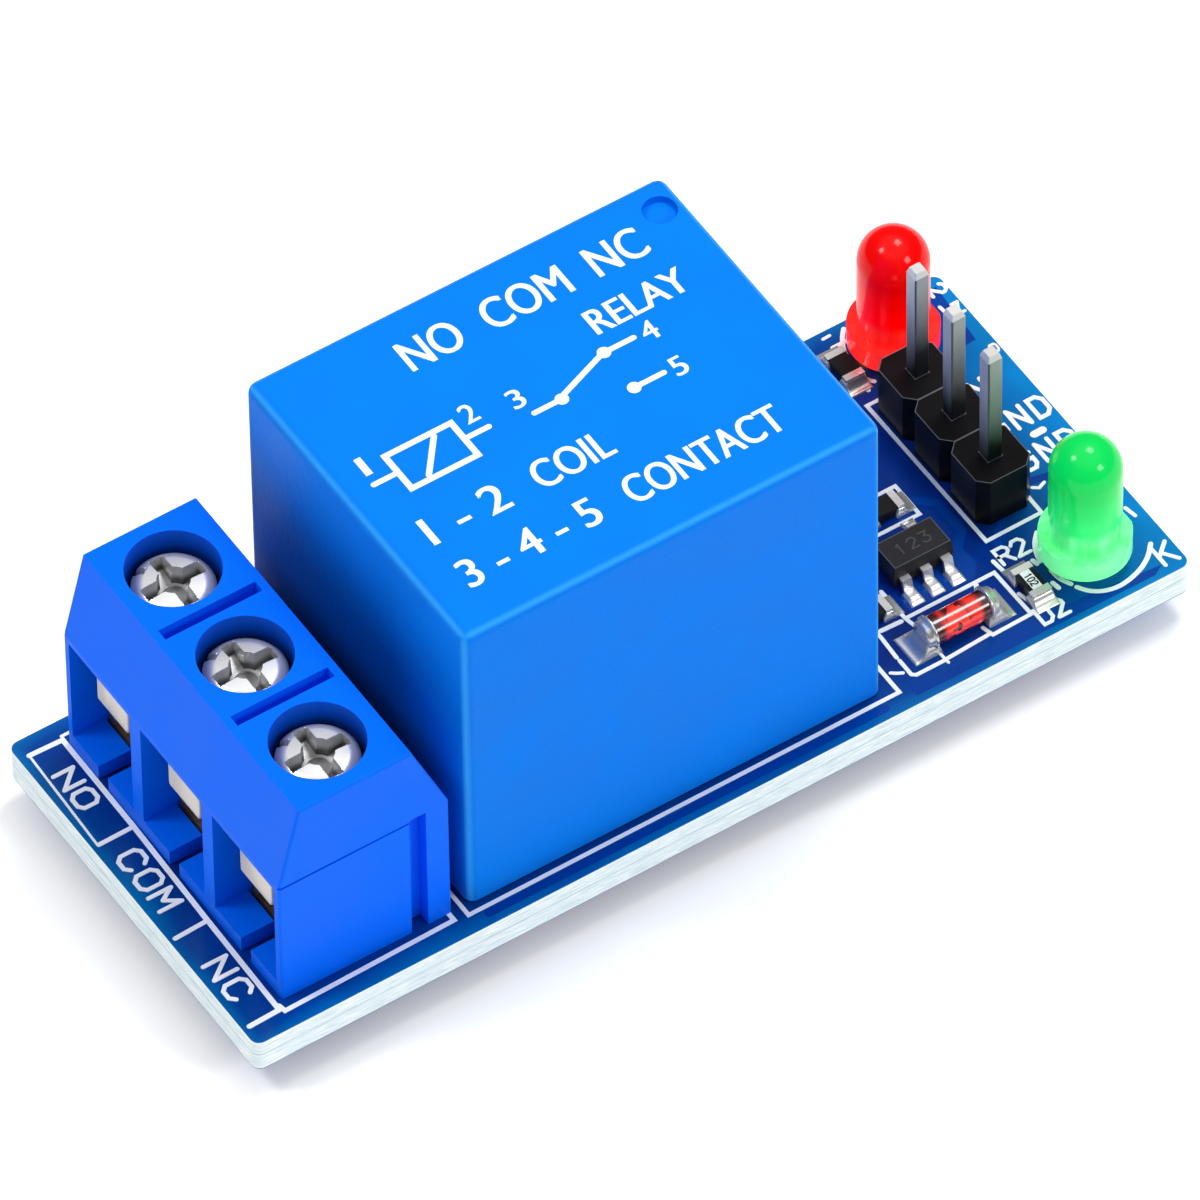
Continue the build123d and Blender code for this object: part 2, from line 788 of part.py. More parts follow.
def lamp_frame(x, y):
    """The two leads of a lamp: a broad cup lead by the flat and a narrow post."""
    half = lamp_lead / 2
    far = lamp_lead_pitch / 2
    with BuildPart() as frame:
        with BuildSketch(Plane.XZ.offset(-y)):
            with BuildLine():
                Polyline(
                    (x + far + half, 0),
                    (x + far - half, 0),
                    (x + far - half, lamp_bottom + cup_start),
                    (x + cup_gap, cup_bottom),
                    (x - cup_gap, cup_top),
                    (x + cup_reach, cup_top),
                    (x + cup_reach, cup_bottom),
                    (x + far + half, lamp_bottom + cup_start),
                    close=True,
                )
            make_face()
            with BuildLine():
                Polyline(
                    (x - far - half, 0),
                    (x - far + half, 0),
                    (x - far + half, lamp_bottom + cup_start),
                    (x - post_inner, cup_bottom),
                    (x - post_inner, cup_top),
                    (x - post_inner - lamp_lead, cup_top),
                    (x - post_inner - lamp_lead, cup_bottom),
                    (x - far - half, lamp_bottom + cup_start),
                    close=True,
                )
            make_face()
        extrude(amount=half, both=True)
        with BuildSketch(Plane.XY.offset(board_top)):
            with Locations((x - far, y), (x + far, y)):
                Rectangle(lamp_lead, lamp_foot_width)
        extrude(amount=lamp_foot)
    return frame.part


cup_bottom = rim_top + cup_rise
cup_top = cup_bottom + cup_height

for colour, x, y in (("red", red_lamp_x, red_lamp_y), ("green", green_lamp_x, green_lamp_y)):
    frame_piece = lamp_frame(x, y)
    save(frame_piece, f"{colour}_lamp_leads")
    with BuildPart() as lens:
        with BuildSketch(Plane.XZ.offset(-y)):
            with BuildLine():
                Polyline(
                    (x, dome_start + lamp_radius),
                    (x, lamp_bottom),
                    (x + lamp_flange_radius, lamp_bottom),
                    (x + lamp_flange_radius, rim_top),
                    (x + lamp_radius, rim_top),
                    (x + lamp_radius, dome_start),
                )
                RadiusArc(
                    (x + lamp_radius, dome_start), (x, dome_start + lamp_radius), -lamp_radius
                )
            make_face()
        revolve(axis=Axis((x, y, 0), (0, 0, 1)))
        with BuildSketch(Plane.XY.offset(lamp_bottom)):
            with Locations((x + lamp_flat + lamp_flange_radius / 2, y)):
                Rectangle(lamp_flange_radius, 2 * lamp_flange_radius)
        extrude(amount=lamp_flange_height, mode=Mode.SUBTRACT)
        add(frame_piece, mode=Mode.SUBTRACT)
    save(lens.part, f"{colour}_lamp_lens")

# Glass diode with a metal cap on each end, lying along X
diode_z = board_top + diode_radius
diode_axis_y = diode_y - diode_shift
with BuildPart() as diode_glass:
    with BuildSketch(Plane.YZ.offset(diode_x)):
        with Locations((diode_axis_y, diode_z)):
            Circle(diode_radius - glass_inset)
    extrude(amount=diode_length / 2 - diode_cap, both=True)
save(diode_glass.part, "diode_glass")

with BuildPart() as diode_caps:
    for side in (-1, 1):
        inner_end = diode_x + side * (diode_length / 2 - diode_cap)
        with BuildSketch(Plane.YZ.offset(inner_end)):
            with Locations((diode_axis_y, diode_z)):
                Circle(diode_radius)
        extrude(amount=side * diode_cap)
save(diode_caps.part, "diode_caps")

# Driver chip: a five-lead body with drafted sides and gull-wing leads
chip_middle = board_top + chip_foot + chip_thickness / 2
chip_edge = chip_width / 2
toe = chip_edge + chip_lead_reach

with BuildPart() as chip_body:
    with BuildSketch(Plane.XY.offset(chip_middle)):
        with Locations((chip_x, chip_y)):
            Rectangle(chip_length, chip_width)
    extrude(amount=chip_thickness / 2, both=True, taper=chip_taper)
save(chip_body.part, "chip_body")

with BuildPart() as chip_leads:
    for side, columns in ((-1, (-1, 0, 1)), (1, (-1, 1))):
        for column in columns:
            with BuildSketch(Plane.YZ.offset(chip_x + column * chip_lead_pitch)):
                with BuildLine():
                    Polyline(
                        (chip_y + side * chip_edge, chip_middle),
                        (chip_y + side * (chip_edge + chip_knee), chip_middle),
                        (chip_y + side * (toe - chip_sole), board_top + chip_lead_thickness),
                        (chip_y + side * toe, board_top + chip_lead_thickness),
                        (chip_y + side * toe, board_top),
                        (chip_y + side * (toe - chip_sole - chip_lead_lean), board_top),
                        (
                            chip_y + side * (chip_edge + chip_knee - chip_lead_lean),
                            chip_middle - chip_lead_thickness,
                        ),
                        (chip_y + side * chip_edge, chip_middle - chip_lead_thickness),
                        close=True,
                    )
                make_face()
            extrude(amount=chip_lead_width / 2, both=True)
save(chip_leads.part, "chip_leads")

# Chip resistors: a ceramic body and two plated ends each
resistors = [
    ("green_lamp", relay_right + resistor_column, diode_y, 90),
    ("bias", relay_right + bias_resistor_row, diode_y + bias_from_diode, 0),
    ("input", relay_right + input_resistor_row, chip_y + input_from_chip, 0),
    ("red_lamp", red_lamp_x - lamp_flange_radius - lamp_resistor_gap, red_lamp_y, 90),
]

for name, x, y, turn in resistors:
    spot = Plane(Location((x, y, board_top), (0, 0, turn)))
    with BuildPart() as resistor_body:
        with BuildSketch(spot.offset(resistor_plating)):
            Rectangle(resistor_length - 2 * resistor_plating, resistor_width)
        extrude(amount=resistor_height)
    save(resistor_body.part, f"{name}_resistor_body")

    with BuildPart() as resistor_ends:
        with BuildSketch(spot):
            with GridLocations(resistor_length - resistor_end, 0, 2, 1):
                Rectangle(resistor_end, resistor_width + 2 * resistor_plating)
        extrude(amount=resistor_height + 2 * resistor_plating)
        add(resistor_body.part, mode=Mode.SUBTRACT)
    save(resistor_ends.part, f"{name}_resistor_ends")
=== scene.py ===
import json
import math

import bpy
import numpy as np
from mathutils import Matrix, Vector


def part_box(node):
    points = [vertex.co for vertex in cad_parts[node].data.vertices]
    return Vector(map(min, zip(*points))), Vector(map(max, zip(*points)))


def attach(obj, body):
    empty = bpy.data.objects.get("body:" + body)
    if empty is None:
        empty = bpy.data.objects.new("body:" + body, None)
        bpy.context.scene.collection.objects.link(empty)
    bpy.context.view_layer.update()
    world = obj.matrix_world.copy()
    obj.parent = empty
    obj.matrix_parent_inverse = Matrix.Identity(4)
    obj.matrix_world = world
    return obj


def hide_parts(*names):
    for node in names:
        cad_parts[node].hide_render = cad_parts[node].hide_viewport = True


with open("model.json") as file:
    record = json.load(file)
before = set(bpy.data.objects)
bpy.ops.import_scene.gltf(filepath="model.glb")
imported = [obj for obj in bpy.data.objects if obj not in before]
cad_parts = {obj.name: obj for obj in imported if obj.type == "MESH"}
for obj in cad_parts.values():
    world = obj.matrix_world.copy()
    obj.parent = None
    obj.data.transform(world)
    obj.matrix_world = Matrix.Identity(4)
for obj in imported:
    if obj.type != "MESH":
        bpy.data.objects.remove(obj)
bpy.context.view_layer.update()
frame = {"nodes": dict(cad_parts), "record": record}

# The looks of the relay board. Sizes in this file are millimetres in the CAD's frame, and become
# metres where a mesh, a light or the camera is made.
MM = 0.001

# Camera, fitted to the photograph: place of the aim point, direction and lens
AIM = (-0.78, -1.204, 8.0)
AZIMUTH = -32.509
ELEVATION = 50.331
ROLL = -0.959
DISTANCE = 821.17
LENS = 642.2
SENSOR = 36.0

# Levels and places of the board that the print and the solder follow
BOARD_LO, BOARD_HI = (np.array(corner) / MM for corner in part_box("circuit_board"))
BOARD_TOP = BOARD_HI[2]
BOARD_BOTTOM = BOARD_LO[2]
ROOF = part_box("relay_case")[1].z / MM

# Print and tracks start a little below the face that they lie on, so that no gap shows
SUNK = 0.005
INK = 0.02


# Mesh helpers. A part is a pair: its points, and its faces as lists of point numbers.


def box_of(node):
    """Lowest and highest corner of a CAD node, in millimetres."""
    lo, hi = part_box(node)
    return np.array(lo) / MM, np.array(hi) / MM


def points_of(node):
    """All points of a CAD node's mesh, in millimetres."""
    piece = frame["nodes"][node]
    return np.array([piece.matrix_world @ v.co for v in piece.data.vertices]) / MM


def build(name, parts, material, body="root", sharp=40):
    """Joins parts into one smooth-shaded object that rides on a body."""
    points, faces, start = [], [], 0
    for part_points, part_faces in parts:
        points.append(part_points)
        faces += [[start + i for i in face] for face in part_faces]
        start += len(part_points)
    mesh = bpy.data.meshes.new(name)
    mesh.from_pydata((np.vstack(points) * MM).tolist(), [], faces)
    mesh.update()
    mesh.shade_smooth()
    mesh.set_sharp_from_angle(angle=math.radians(sharp))
    piece = bpy.data.objects.new(name, mesh)
    bpy.context.scene.collection.objects.link(piece)
    mesh.materials.append(material)
    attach(piece, body)
    return piece


def circle(steps):
    """Points of a circle of radius 1, counterclockwise: (cos t, sin t)."""
    angles = np.linspace(0, 2 * math.pi, steps, endpoint=False)
    return np.column_stack([np.cos(angles), np.sin(angles)])


def rectangle(lo, hi):
    """The four corners of a rectangle, counterclockwise."""
    return np.array([(lo[0], lo[1]), (hi[0], lo[1]), (hi[0], hi[1]), (lo[0], hi[1])])


def layers(outline, low, high):
    """An outline's points at a low and at a high level."""
    return np.vstack([np.column_stack([outline, np.full(len(outline), z)]) for z in (low, high)])


def walls(count):
    """Faces between the two layers of an outline with that many points."""
    here = np.arange(count)
    after = np.roll(here, -1)
    return np.column_stack([here, after, count + after, count + here]).tolist()


def prism(outline, low, high):
    """A flat shape with straight sides. The outline is a counterclockwise loop."""
    count = len(outline)
    caps = [list(range(count, 2 * count)), list(reversed(range(count)))]
    return layers(outline, low, high), caps + walls(count)


def dot(place, radius, low, high):
    """A flat round dot: place + radius (cos t, sin t)."""
    return prism(place + radius * circle(24), low, high)


def stroke(line, width, low, high, closed=False):
    """A pen line: a ribbon of even width along a polyline, with mitred corners and round ends. Its
    sides at a corner are line +/- width (a + b) / |a + b|^2, where a and b are the unit normals of the
    two stretches that meet there."""
    line = np.asarray(line, float)
    if closed:
        steps = np.roll(line, -1, axis=0) - line
    else:
        steps = np.diff(line, axis=0)
    steps /= np.linalg.norm(steps, axis=1)[:, None]
    sides = np.column_stack([-steps[:, 1], steps[:, 0]])
    if closed:
        before, after = np.roll(sides, 1, axis=0), sides
    else:
        before, after = np.vstack([sides[:1], sides]), np.vstack([sides, sides[-1:]])
    mitre = before + after
    sharpest = 0.6
    mitre /= np.maximum((mitre * mitre).sum(axis=1), sharpest)[:, None]
    left, right = line + mitre * width, line - mitre * width
    count = len(line)
    if closed:
        left_here, right_here, top = np.arange(count), count + np.arange(count), 2 * count
        left_next, right_next = np.roll(left_here, -1), np.roll(right_here, -1)
        quads = [
            (top + right_here, top + right_next, top + left_next, top + left_here),
            (left_here, left_next, right_next, right_here),
            (left_here, top + left_here, top + left_next, left_next),
            (right_next, top + right_next, top + right_here, right_here),
        ]
        faces = np.vstack([np.column_stack(quad) for quad in quads]).tolist()
        return layers(np.vstack([left, right]), low, high), faces
    turns = np.linspace(0, math.pi, 7)[1:-1, None]

    def cap(centre, along, side):
        """Points of a half circle from the right side of an end round to its left."""
        return centre + (np.sin(turns) * along - np.cos(turns) * side) * width / 2

    far_cap = cap(line[-1], steps[-1], sides[-1])
    near_cap = cap(line[0], -steps[0], -sides[0])
    outline = np.vstack([right, far_cap, left[::-1], near_cap])
    total, last_left = len(outline), 2 * count + len(turns) - 1
    here = np.arange(count - 1)
    flats = np.column_stack([here, here + 1, last_left - here - 1, last_left - here]).tolist()
    flats.append(list(range(count - 1, count + len(turns) + 1)))
    flats.append(list(range(last_left, total)) + [0])
    tops = [[total + i for i in flat] for flat in flats]
    bottoms = [flat[::-1] for flat in flats]
    return layers(outline, low, high), tops + bottoms + walls(total)


def rounded(line, times=2):
    """Corner cutting: each corner is replaced by points a quarter and three quarters along its sides."""
    line = np.asarray(line, float)
    for _ in range(times):
        near, far = 0.75 * line[:-1] + 0.25 * line[1:], 0.25 * line[:-1] + 0.75 * line[1:]
        line = np.vstack([line[:1], np.stack([near, far], axis=1).reshape(-1, 2)[1:-1], line[-1:]])
    return line


def skin(rings):
    """A closed surface through rings of equally many points, with flat caps. Seen from the end that
    the rings run to, each ring's points run counterclockwise."""
    rings = np.asarray(rings, float)
    here = np.arange(rings.shape[0] * rings.shape[1]).reshape(rings.shape[:2])
    after = np.roll(here, -1, axis=1)
    quads = np.stack([here[:-1], after[:-1], after[1:], here[1:]], axis=-1).reshape(-1, 4)
    return rings.reshape(-1, 3), quads.tolist() + [here[0, ::-1].tolist(), here[-1].tolist()]


def turned(profile, place, axis="Z", steps=40):
    """A closed solid of revolution: (radius cos t, radius sin t, level) for each (radius, level) of the
    profile, which runs from one end of the axis to the other."""
    radius, level = np.array(profile, float).T[:, :, None]
    around = circle(steps)
    rings = np.stack([radius * around[:, 0], radius * around[:, 1], level + np.zeros(steps)], axis=-1)
    if axis == "X":
        rings = rings[:, :, [2, 0, 1]]
    return skin(rings + np.array(place, float))


def height_field(low_corner, high_corner, height, base, cells=(26, 26)):
    """A mound over a rectangle. The top is z = base + height(x, y), with sides down to the base."""
    xs = np.linspace(low_corner[0], high_corner[0], cells[0] + 1)
    ys = np.linspace(low_corner[1], high_corner[1], cells[1] + 1)
    x, y = np.meshgrid(xs, ys, indexing="ij")
    top = np.stack([x, y, base + height(x, y)], axis=-1).reshape(-1, 3)
    here = np.arange(len(top)).reshape(x.shape)
    quads = np.stack([here[:-1, :-1], here[1:, :-1], here[1:, 1:], here[:-1, 1:]], axis=-1).reshape(-1, 4)
    rim = np.concatenate([here[:, 0], here[-1, 1:], here[-2::-1, -1], here[0, -2:0:-1]])
    foot = len(top) + np.arange(len(rim))
    sides = np.column_stack([foot, np.roll(foot, -1), np.roll(rim, -1), rim])
    points = np.vstack([top, top[rim] * (1, 1, 0) + (0, 0, base)])
    return points, quads.tolist() + sides.tolist() + [foot[::-1].tolist()]


def outside(x, y, lo, hi):
    """Distance from a point to a rectangle, 0 inside it."""
    dx = np.maximum(np.maximum(lo[0] - x, x - hi[0]), 0)
    dy = np.maximum(np.maximum(lo[1] - y, y - hi[1]), 0)
    return np.hypot(dx, dy)


# Letters. The pen's are lines on a grid 4 wide and 6 high.
O_SHAPE = [(1, 0), (3, 0), (4, 1.2), (4, 4.8), (3, 6), (1, 6), (0, 4.8), (0, 1.2), (1, 0)]
GLYPHS = {
    "N": [[(0, 0), (0, 6), (4, 0), (4, 6)]],
    "O": [O_SHAPE],
    "C": [[(4, 1.2), (3, 0), (1, 0), (0, 1.2), (0, 4.8), (1, 6), (3, 6), (4, 4.8)]],
    "M": [[(0, 0), (0, 6), (2, 2.4), (4, 6), (4, 0)]],
    "G": [[(4, 4.8), (3, 6), (1, 6), (0, 4.8), (0, 1.2), (1, 0), (3, 0), (4, 1.2), (4, 3), (2.4, 3)]],
    "D": [[(0, 0), (0, 6), (2.6, 6), (4, 4.6), (4, 1.4), (2.6, 0), (0, 0)]],
    "R": [[(0, 0), (0, 6), (3, 6), (4, 5), (4, 4), (3, 3), (0, 3)], [(2, 3), (4, 0)]],
    "K": [[(0, 0), (0, 6)], [(4, 6), (0, 2.6)], [(1.2, 3.6), (4, 0)]],
    "I": [[(2, 0), (2, 6)]],
    "0": [O_SHAPE],
    "1": [[(1, 4.8), (2.2, 6), (2.2, 0)]],
    "2": [[(0, 4.8), (1, 6), (3, 6), (4, 4.8), (4, 3.8), (0, 0), (4, 0)]],
    "3": [[(0, 6), (4, 6), (1.8, 3.6), (3, 3.6), (4, 2.6), (4, 1.1), (3, 0), (1, 0), (0, 1)]],
    "4": [[(3, 0), (3, 6), (0, 2), (4, 2)]],
}


def pen_strokes(points):
    """Cuts a pen line where it turns back sharply. Gives each part and whether it is a closed loop."""
    turns_back = -0.3
    steps = np.diff(points, axis=0)
    steps /= np.linalg.norm(steps, axis=1)[:, None]
    bends = (steps[:-1] * steps[1:]).sum(axis=1)
    if np.allclose(points[0], points[-1]) and bends.min() > turns_back:
        return [(points[:-1], True)]
    cuts = [0] + [i + 1 for i in range(len(bends)) if bends[i] < turns_back] + [len(points) - 1]
    return [(points[a : b + 1], False) for a, b in zip(cuts[:-1], cuts[1:])]


def pen_text(words, corner, height, along, up, width, low, high, spacing=5.9, narrow=0.84):
    """Words written with a pen. The corner is the first letter's lower left. Each line gets its own
    height, a little over the one before, so that lines that cross don't share a face."""
    unit = height / 6
    along, up, corner = np.array(along, float), np.array(up, float), np.array(corner, float)
    parts = []
    for place, letter in enumerate(words):
        for line in GLYPHS[letter]:
            grid = np.asarray(line, float) + (spacing * place, 0)
            points = corner + unit * (grid[:, :1] * narrow * along + grid[:, 1:] * up)
            for part, closed in pen_strokes(points):
                parts.append(stroke(part, width, low, high + 0.002 * (len(parts) % 6), closed))
    return parts


def type_text(words, corner, height, width, low, high, bold):
    """Words in Blender's own typeface, along +X, as a mesh that fills a height and a width. The mesh
    is laid twice, the second one moved by bold and a hair higher."""
    curve = bpy.data.curves.new("type", "FONT")
    curve.body, curve.size, curve.extrude = words, 1.0, 0.5
    curve.resolution_u = 8
    holder = bpy.data.objects.new("type", curve)
    bpy.context.scene.collection.objects.link(holder)
    graph = bpy.context.evaluated_depsgraph_get()
    mesh = bpy.data.meshes.new_from_object(holder.evaluated_get(graph))
    points = np.empty(len(mesh.vertices) * 3)
    mesh.vertices.foreach_get("co", points)
    points = points.reshape(-1, 3)
    faces = [tuple(face.vertices) for face in mesh.polygons]
    bpy.data.objects.remove(holder)
    bpy.data.curves.remove(curve)
    bpy.data.meshes.remove(mesh)
    points[:, :2] -= points[:, :2].min(axis=0)
    points[:, :2] *= np.array([width - bold, height]) / points[:, :2].max(axis=0)
    points[:, :2] += corner
    parts = []
    for shift, lift in ((0.0, 0.0), (bold, 0.002)):
        level = np.where(points[:, 2] > 0, high + lift, low)
        parts.append((np.column_stack([points[:, 0] + shift, points[:, 1], level]), faces))
    return parts


# Material helpers


class Field:
    """A number that varies over a surface. Arithmetic with it adds maths nodes to the material."""

    # Numbers from numpy then leave the arithmetic to this class
    __array_ufunc__ = None

    def __init__(self, tree, socket):
        self.tree, self.socket = tree, socket

    def __add__(self, other):
        return maths(self.tree, "ADD", self, other)

    def __sub__(self, other):
        return maths(self.tree, "SUBTRACT", self, other)

    def __rsub__(self, other):
        return maths(self.tree, "SUBTRACT", other, self)

    def __mul__(self, other):
        return maths(self.tree, "MULTIPLY", self, other)

    def __lt__(self, other):
        return maths(self.tree, "LESS_THAN", self, other)

    def __gt__(self, other):
        return maths(self.tree, "GREATER_THAN", self, other)

    def __abs__(self):
        return maths(self.tree, "ABSOLUTE", self)

    def least(self, other):
        """The smaller of two."""
        return maths(self.tree, "MINIMUM", self, other)

    def most(self, other):
        """The larger of two."""
        return maths(self.tree, "MAXIMUM", self, other)

    def wrapped(self, low, high):
        """The number, repeated so that it stays from low to high."""
        return maths(self.tree, "WRAP", self, high, low)


def linear(red, green, blue):
    """A colour given as screen values from 0 to 255, as the shader needs it."""
    values = [v / 255 for v in (red, green, blue)]
    return [v / 12.92 if v < 0.04045 else ((v + 0.055) / 1.055) ** 2.4 for v in values] + [1.0]


def node(tree, kind, settings=None, **inputs):
    """Adds a node. An input's name has _ for a space, or is i and its number. A field or a socket is
    linked, and anything else is set."""
    made = tree.nodes.new(kind)
    for key, value in (settings or {}).items():
        setattr(made, key, value)
    for key, value in inputs.items():
        numbered = key[0] == "i" and key[1:].isdigit()
        socket = made.inputs[int(key[1:])] if numbered else made.inputs[key.replace("_", " ")]
        value = value.socket if isinstance(value, Field) else value
        if isinstance(value, bpy.types.NodeSocket):
            tree.links.new(value, socket)
        else:
            socket.default_value = value
    return made


def maths(tree, operation, *values):
    """A maths node's result."""
    inputs = {f"i{place}": value for place, value in enumerate(values)}
    return Field(tree, node(tree, "ShaderNodeMath", {"operation": operation}, **inputs).outputs[0])


def mix(factor, a, b):
    """A blend of two colours: a where the factor is 0, b where it is 1."""
    return node(factor.tree, "ShaderNodeMix", {"data_type": "RGBA"}, i0=factor, i6=a, i7=b).outputs[2]


def spread(value, low, high, to_low=0.0, to_high=1.0):
    """A field carried from one range to another, held at the ends."""
    made = node(value.tree, "ShaderNodeMapRange", None, i0=value, i1=low, i2=high, i3=to_low, i4=to_high)
    return Field(value.tree, made.outputs[0])


def places(tree, scale=(1, 1, 1)):
    """The object's own coordinates, stretched per axis."""
    where = node(tree, "ShaderNodeTexCoord").outputs["Object"]
    if tuple(scale) == (1, 1, 1):
        return where
    return node(tree, "ShaderNodeMapping", None, Vector=where, Scale=scale).outputs[0]


def axes(tree):
    """The object's own X, Y and Z in millimetres, as three fields."""
    split = node(tree, "ShaderNodeSeparateXYZ", None, Vector=places(tree))
    return [Field(tree, socket) * (1 / MM) for socket in split.outputs]


def noise(tree, where, scale, detail=3.0, roughness=0.5):
    """Noise with about scale bumps to a metre."""
    inputs = {"Vector": where, "Scale": scale, "Detail": detail, "Roughness": roughness}
    return Field(tree, node(tree, "ShaderNodeTexNoise", None, **inputs).outputs[0])


def new_material(name, color, roughness, **sockets):
    """A material with its constant values set on the shader, and its tree."""
    material = bpy.data.materials.new(name)
    material.use_nodes = True
    shader = material.node_tree.nodes["Principled BSDF"]
    shader.inputs["Base Color"].default_value = color
    shader.inputs["Roughness"].default_value = roughness
    for key, value in sockets.items():
        shader.inputs[key.replace("_", " ")].default_value = value
    return material, material.node_tree


def feed(tree, **values):
    """Links fields or colours to the shader's sockets."""
    for key, value in values.items():
        source = value.socket if isinstance(value, Field) else value
        tree.links.new(source, tree.nodes["Principled BSDF"].inputs[key.replace("_", " ")])


def bump(tree, height, depth):
    """Gives the shader a relief of that depth in millimetres."""
    made = node(tree, "ShaderNodeBump", None, Height=height, Distance=depth * MM, Strength=1.0)
    feed(tree, Normal=made.outputs[0])


def toned(color, keep, add=0.0):
    """A colour with each of its parts times keep plus add, held at 1."""
    return [min(c * keep + add, 1.0) for c in color[:3]] + [1.0]


def finish_group():
    """A group shared by the moulded and metal materials: a fine bump height, and a slow drift
    that varies colour and gloss."""
    group = bpy.data.node_groups.new("surface finish", "ShaderNodeTree")
    for label, kind in (("Where", "Vector"), ("Fine", "Float"), ("Broad", "Float")):
        group.interface.new_socket(label, in_out="INPUT", socket_type=f"NodeSocket{kind}")
    for label in ("Height", "Drift"):
        group.interface.new_socket(label, in_out="OUTPUT", socket_type="NodeSocketFloat")
    start, end = group.nodes.new("NodeGroupInput"), group.nodes.new("NodeGroupOutput")
    where, fine, broad = (start.outputs[label] for label in ("Where", "Fine", "Broad"))
    group.links.new(noise(group, where, fine, detail=4.0, roughness=0.6).socket, end.inputs["Height"])
    group.links.new(noise(group, where, broad, detail=2.0).socket, end.inputs["Drift"])
    return group


FINISH = finish_group()


def finished(
    name, color, roughness, fine, depth, broad=300.0, tone=0.1, gloss=0.08, shine=0.5, metal=0.0,
    scale=(1, 1, 1), **sockets
):
    """A material with fine bumps to a metre of that depth in millimetres, and a slow drift, broad
    to a metre, that shifts its colour by the share tone and its roughness by gloss."""
    if not metal:
        sockets["Specular_Tint"] = toned(color, 0.75, 0.25)
    sockets.update(Specular_IOR_Level=shine, Metallic=metal)
    material, tree = new_material(name, color, roughness, **sockets)
    where = places(tree, scale)
    group = node(tree, "ShaderNodeGroup", {"node_tree": FINISH}, Where=where, Fine=fine, Broad=broad)
    drift = Field(tree, group.outputs["Drift"])
    shade = spread(drift, 0.3, 0.7)
    rough = spread(drift, 0.3, 0.7, max(roughness - gloss, 0.02), roughness + gloss)
    feed(tree, Base_Color=mix(shade, toned(color, 1 - tone), toned(color, 1 + tone)), Roughness=rough)
    bump(tree, group.outputs["Height"], depth)
    return material


def tint(made, factor, color):
    """Blends a colour over a material's own."""
    own = made.node_tree.nodes["Principled BSDF"].inputs["Base Color"].links[0].from_socket
    feed(made.node_tree, Base_Color=mix(factor, own, color))
    return made


def painted_edge_highlight(made, node_name, pale):
    """Adds a painted highlight along the edges of a box-shaped case: a paler line where its rounded
    corners catch the light. An edge is where the second smallest of a point's distances to the box's
    sides and top is small."""
    x, y, z = axes(made.node_tree)
    lo, hi = box_of(node_name)
    middle, half = (lo + hi) / 2, (hi - lo) / 2
    across, along, under = half[0] - abs(x - middle[0]), half[1] - abs(y - middle[1]), hi[2] - z
    second = across.least(along).most(across.most(along).least(under))
    full_to, ends_at, share = 0.1, 0.3, 0.6
    return tint(made, spread(second, full_to, ends_at, share, 0.0), pale)


def shaded_side(made):
    """Darkens the relay case on the side that faces the terminal block, down behind the block."""
    x, y, z = axes(made.node_tree)
    lo, hi = box_of("relay_case")
    darkest = 0.6
    front = x < lo[0] + 0.04
    down = spread(z, hi[2] - 1.2, hi[2] - 6.5)
    inside = spread(y, lo[1] + 0.2, lo[1] + 5.0, 0.25, 1.0)
    return tint(made, down * inside * front * darkest, linear(0, 26, 84))


def painted_well_shade(made):
    """Painted shade: darkens the block's plastic down its screw wells and its slots."""
    x, y, z = axes(made.node_tree)
    middle, above = (sum(box_of(f"terminal_screw_{number}")) / 2 for number in (2, 1))
    pitch, top = above[1] - middle[1], box_of("terminal_housing")[1][2]
    well_radius, slot_width, slot_middle, slot_half_length = 1.94, 0.48, 0.15, 2.0
    depth, darkest = 2.6, 0.85
    along = x - middle[0]
    across = (y - (middle[1] - pitch * 1.5)).wrapped(0.0, pitch) - pitch / 2
    well = along * along + across * across < well_radius**2
    slot = abs(across) > pitch / 2 - slot_width / 2
    slot *= (abs(y - middle[1]) < pitch) * (abs(along - slot_middle) < slot_half_length)
    deep = spread(z, top - 0.05, top - 1.1, 0.35, 1.0)
    near_top = (z > top - depth) * (z < top - 0.03)
    return tint(made, well.most(slot) * near_top * deep * darkest, linear(0, 34, 110))


def painted_recess_shade(made):
    """Painted shade: darkens a screw's metal down in the recess of its head and below the head, in
    uneven patches.
    """
    tree, crown = made.node_tree, box_of("terminal_screw_1")[1][2]
    deep = spread(axes(tree)[2], crown - 0.42, crown - 0.7, 0.0, 0.85)
    patchiness = spread(noise(tree, places(tree), 1600.0), 0.3, 0.7, 0.75, 1.0)
    return tint(made, deep * patchiness, linear(40, 40, 42))


def pin_shade(made):
    """Shades the square pins: dark towards the foot, darker still on the side that faces -Y, a thin
    dark line down their front corner and a bright tip."""
    tree = made.node_tree
    x, y, z = axes(tree)
    lo, hi = box_of("header_pin_2")
    middle, half = (lo + hi) / 2, (hi[0] - lo[0]) / 2
    pitch = abs(box_of("header_pin_1")[0][1] - lo[1])
    across = x - middle[0]
    along = (y - middle[1]).wrapped(-pitch / 2, pitch / 2)
    foot, waviness, tip = box_of("header_housing")[1][2], 2.4, 0.28
    level = z - (noise(tree, places(tree, (1, 1, 0.3)), 700.0) - 0.5) * waviness
    fade = spread(level, foot + 0.1, foot + 4.3, 1.0, 0.12)
    front = (along < -half + 0.02) * spread(level, foot + 0.9, foot + 5.5, 1.0, 0.42)
    corner = (across < -half + 0.07) * (along < -half + 0.05) * 0.85
    shank = (z < hi[2] - tip) * (z > BOARD_TOP)
    return tint(made, fade.most(front).most(corner) * shank, linear(22, 24, 28))


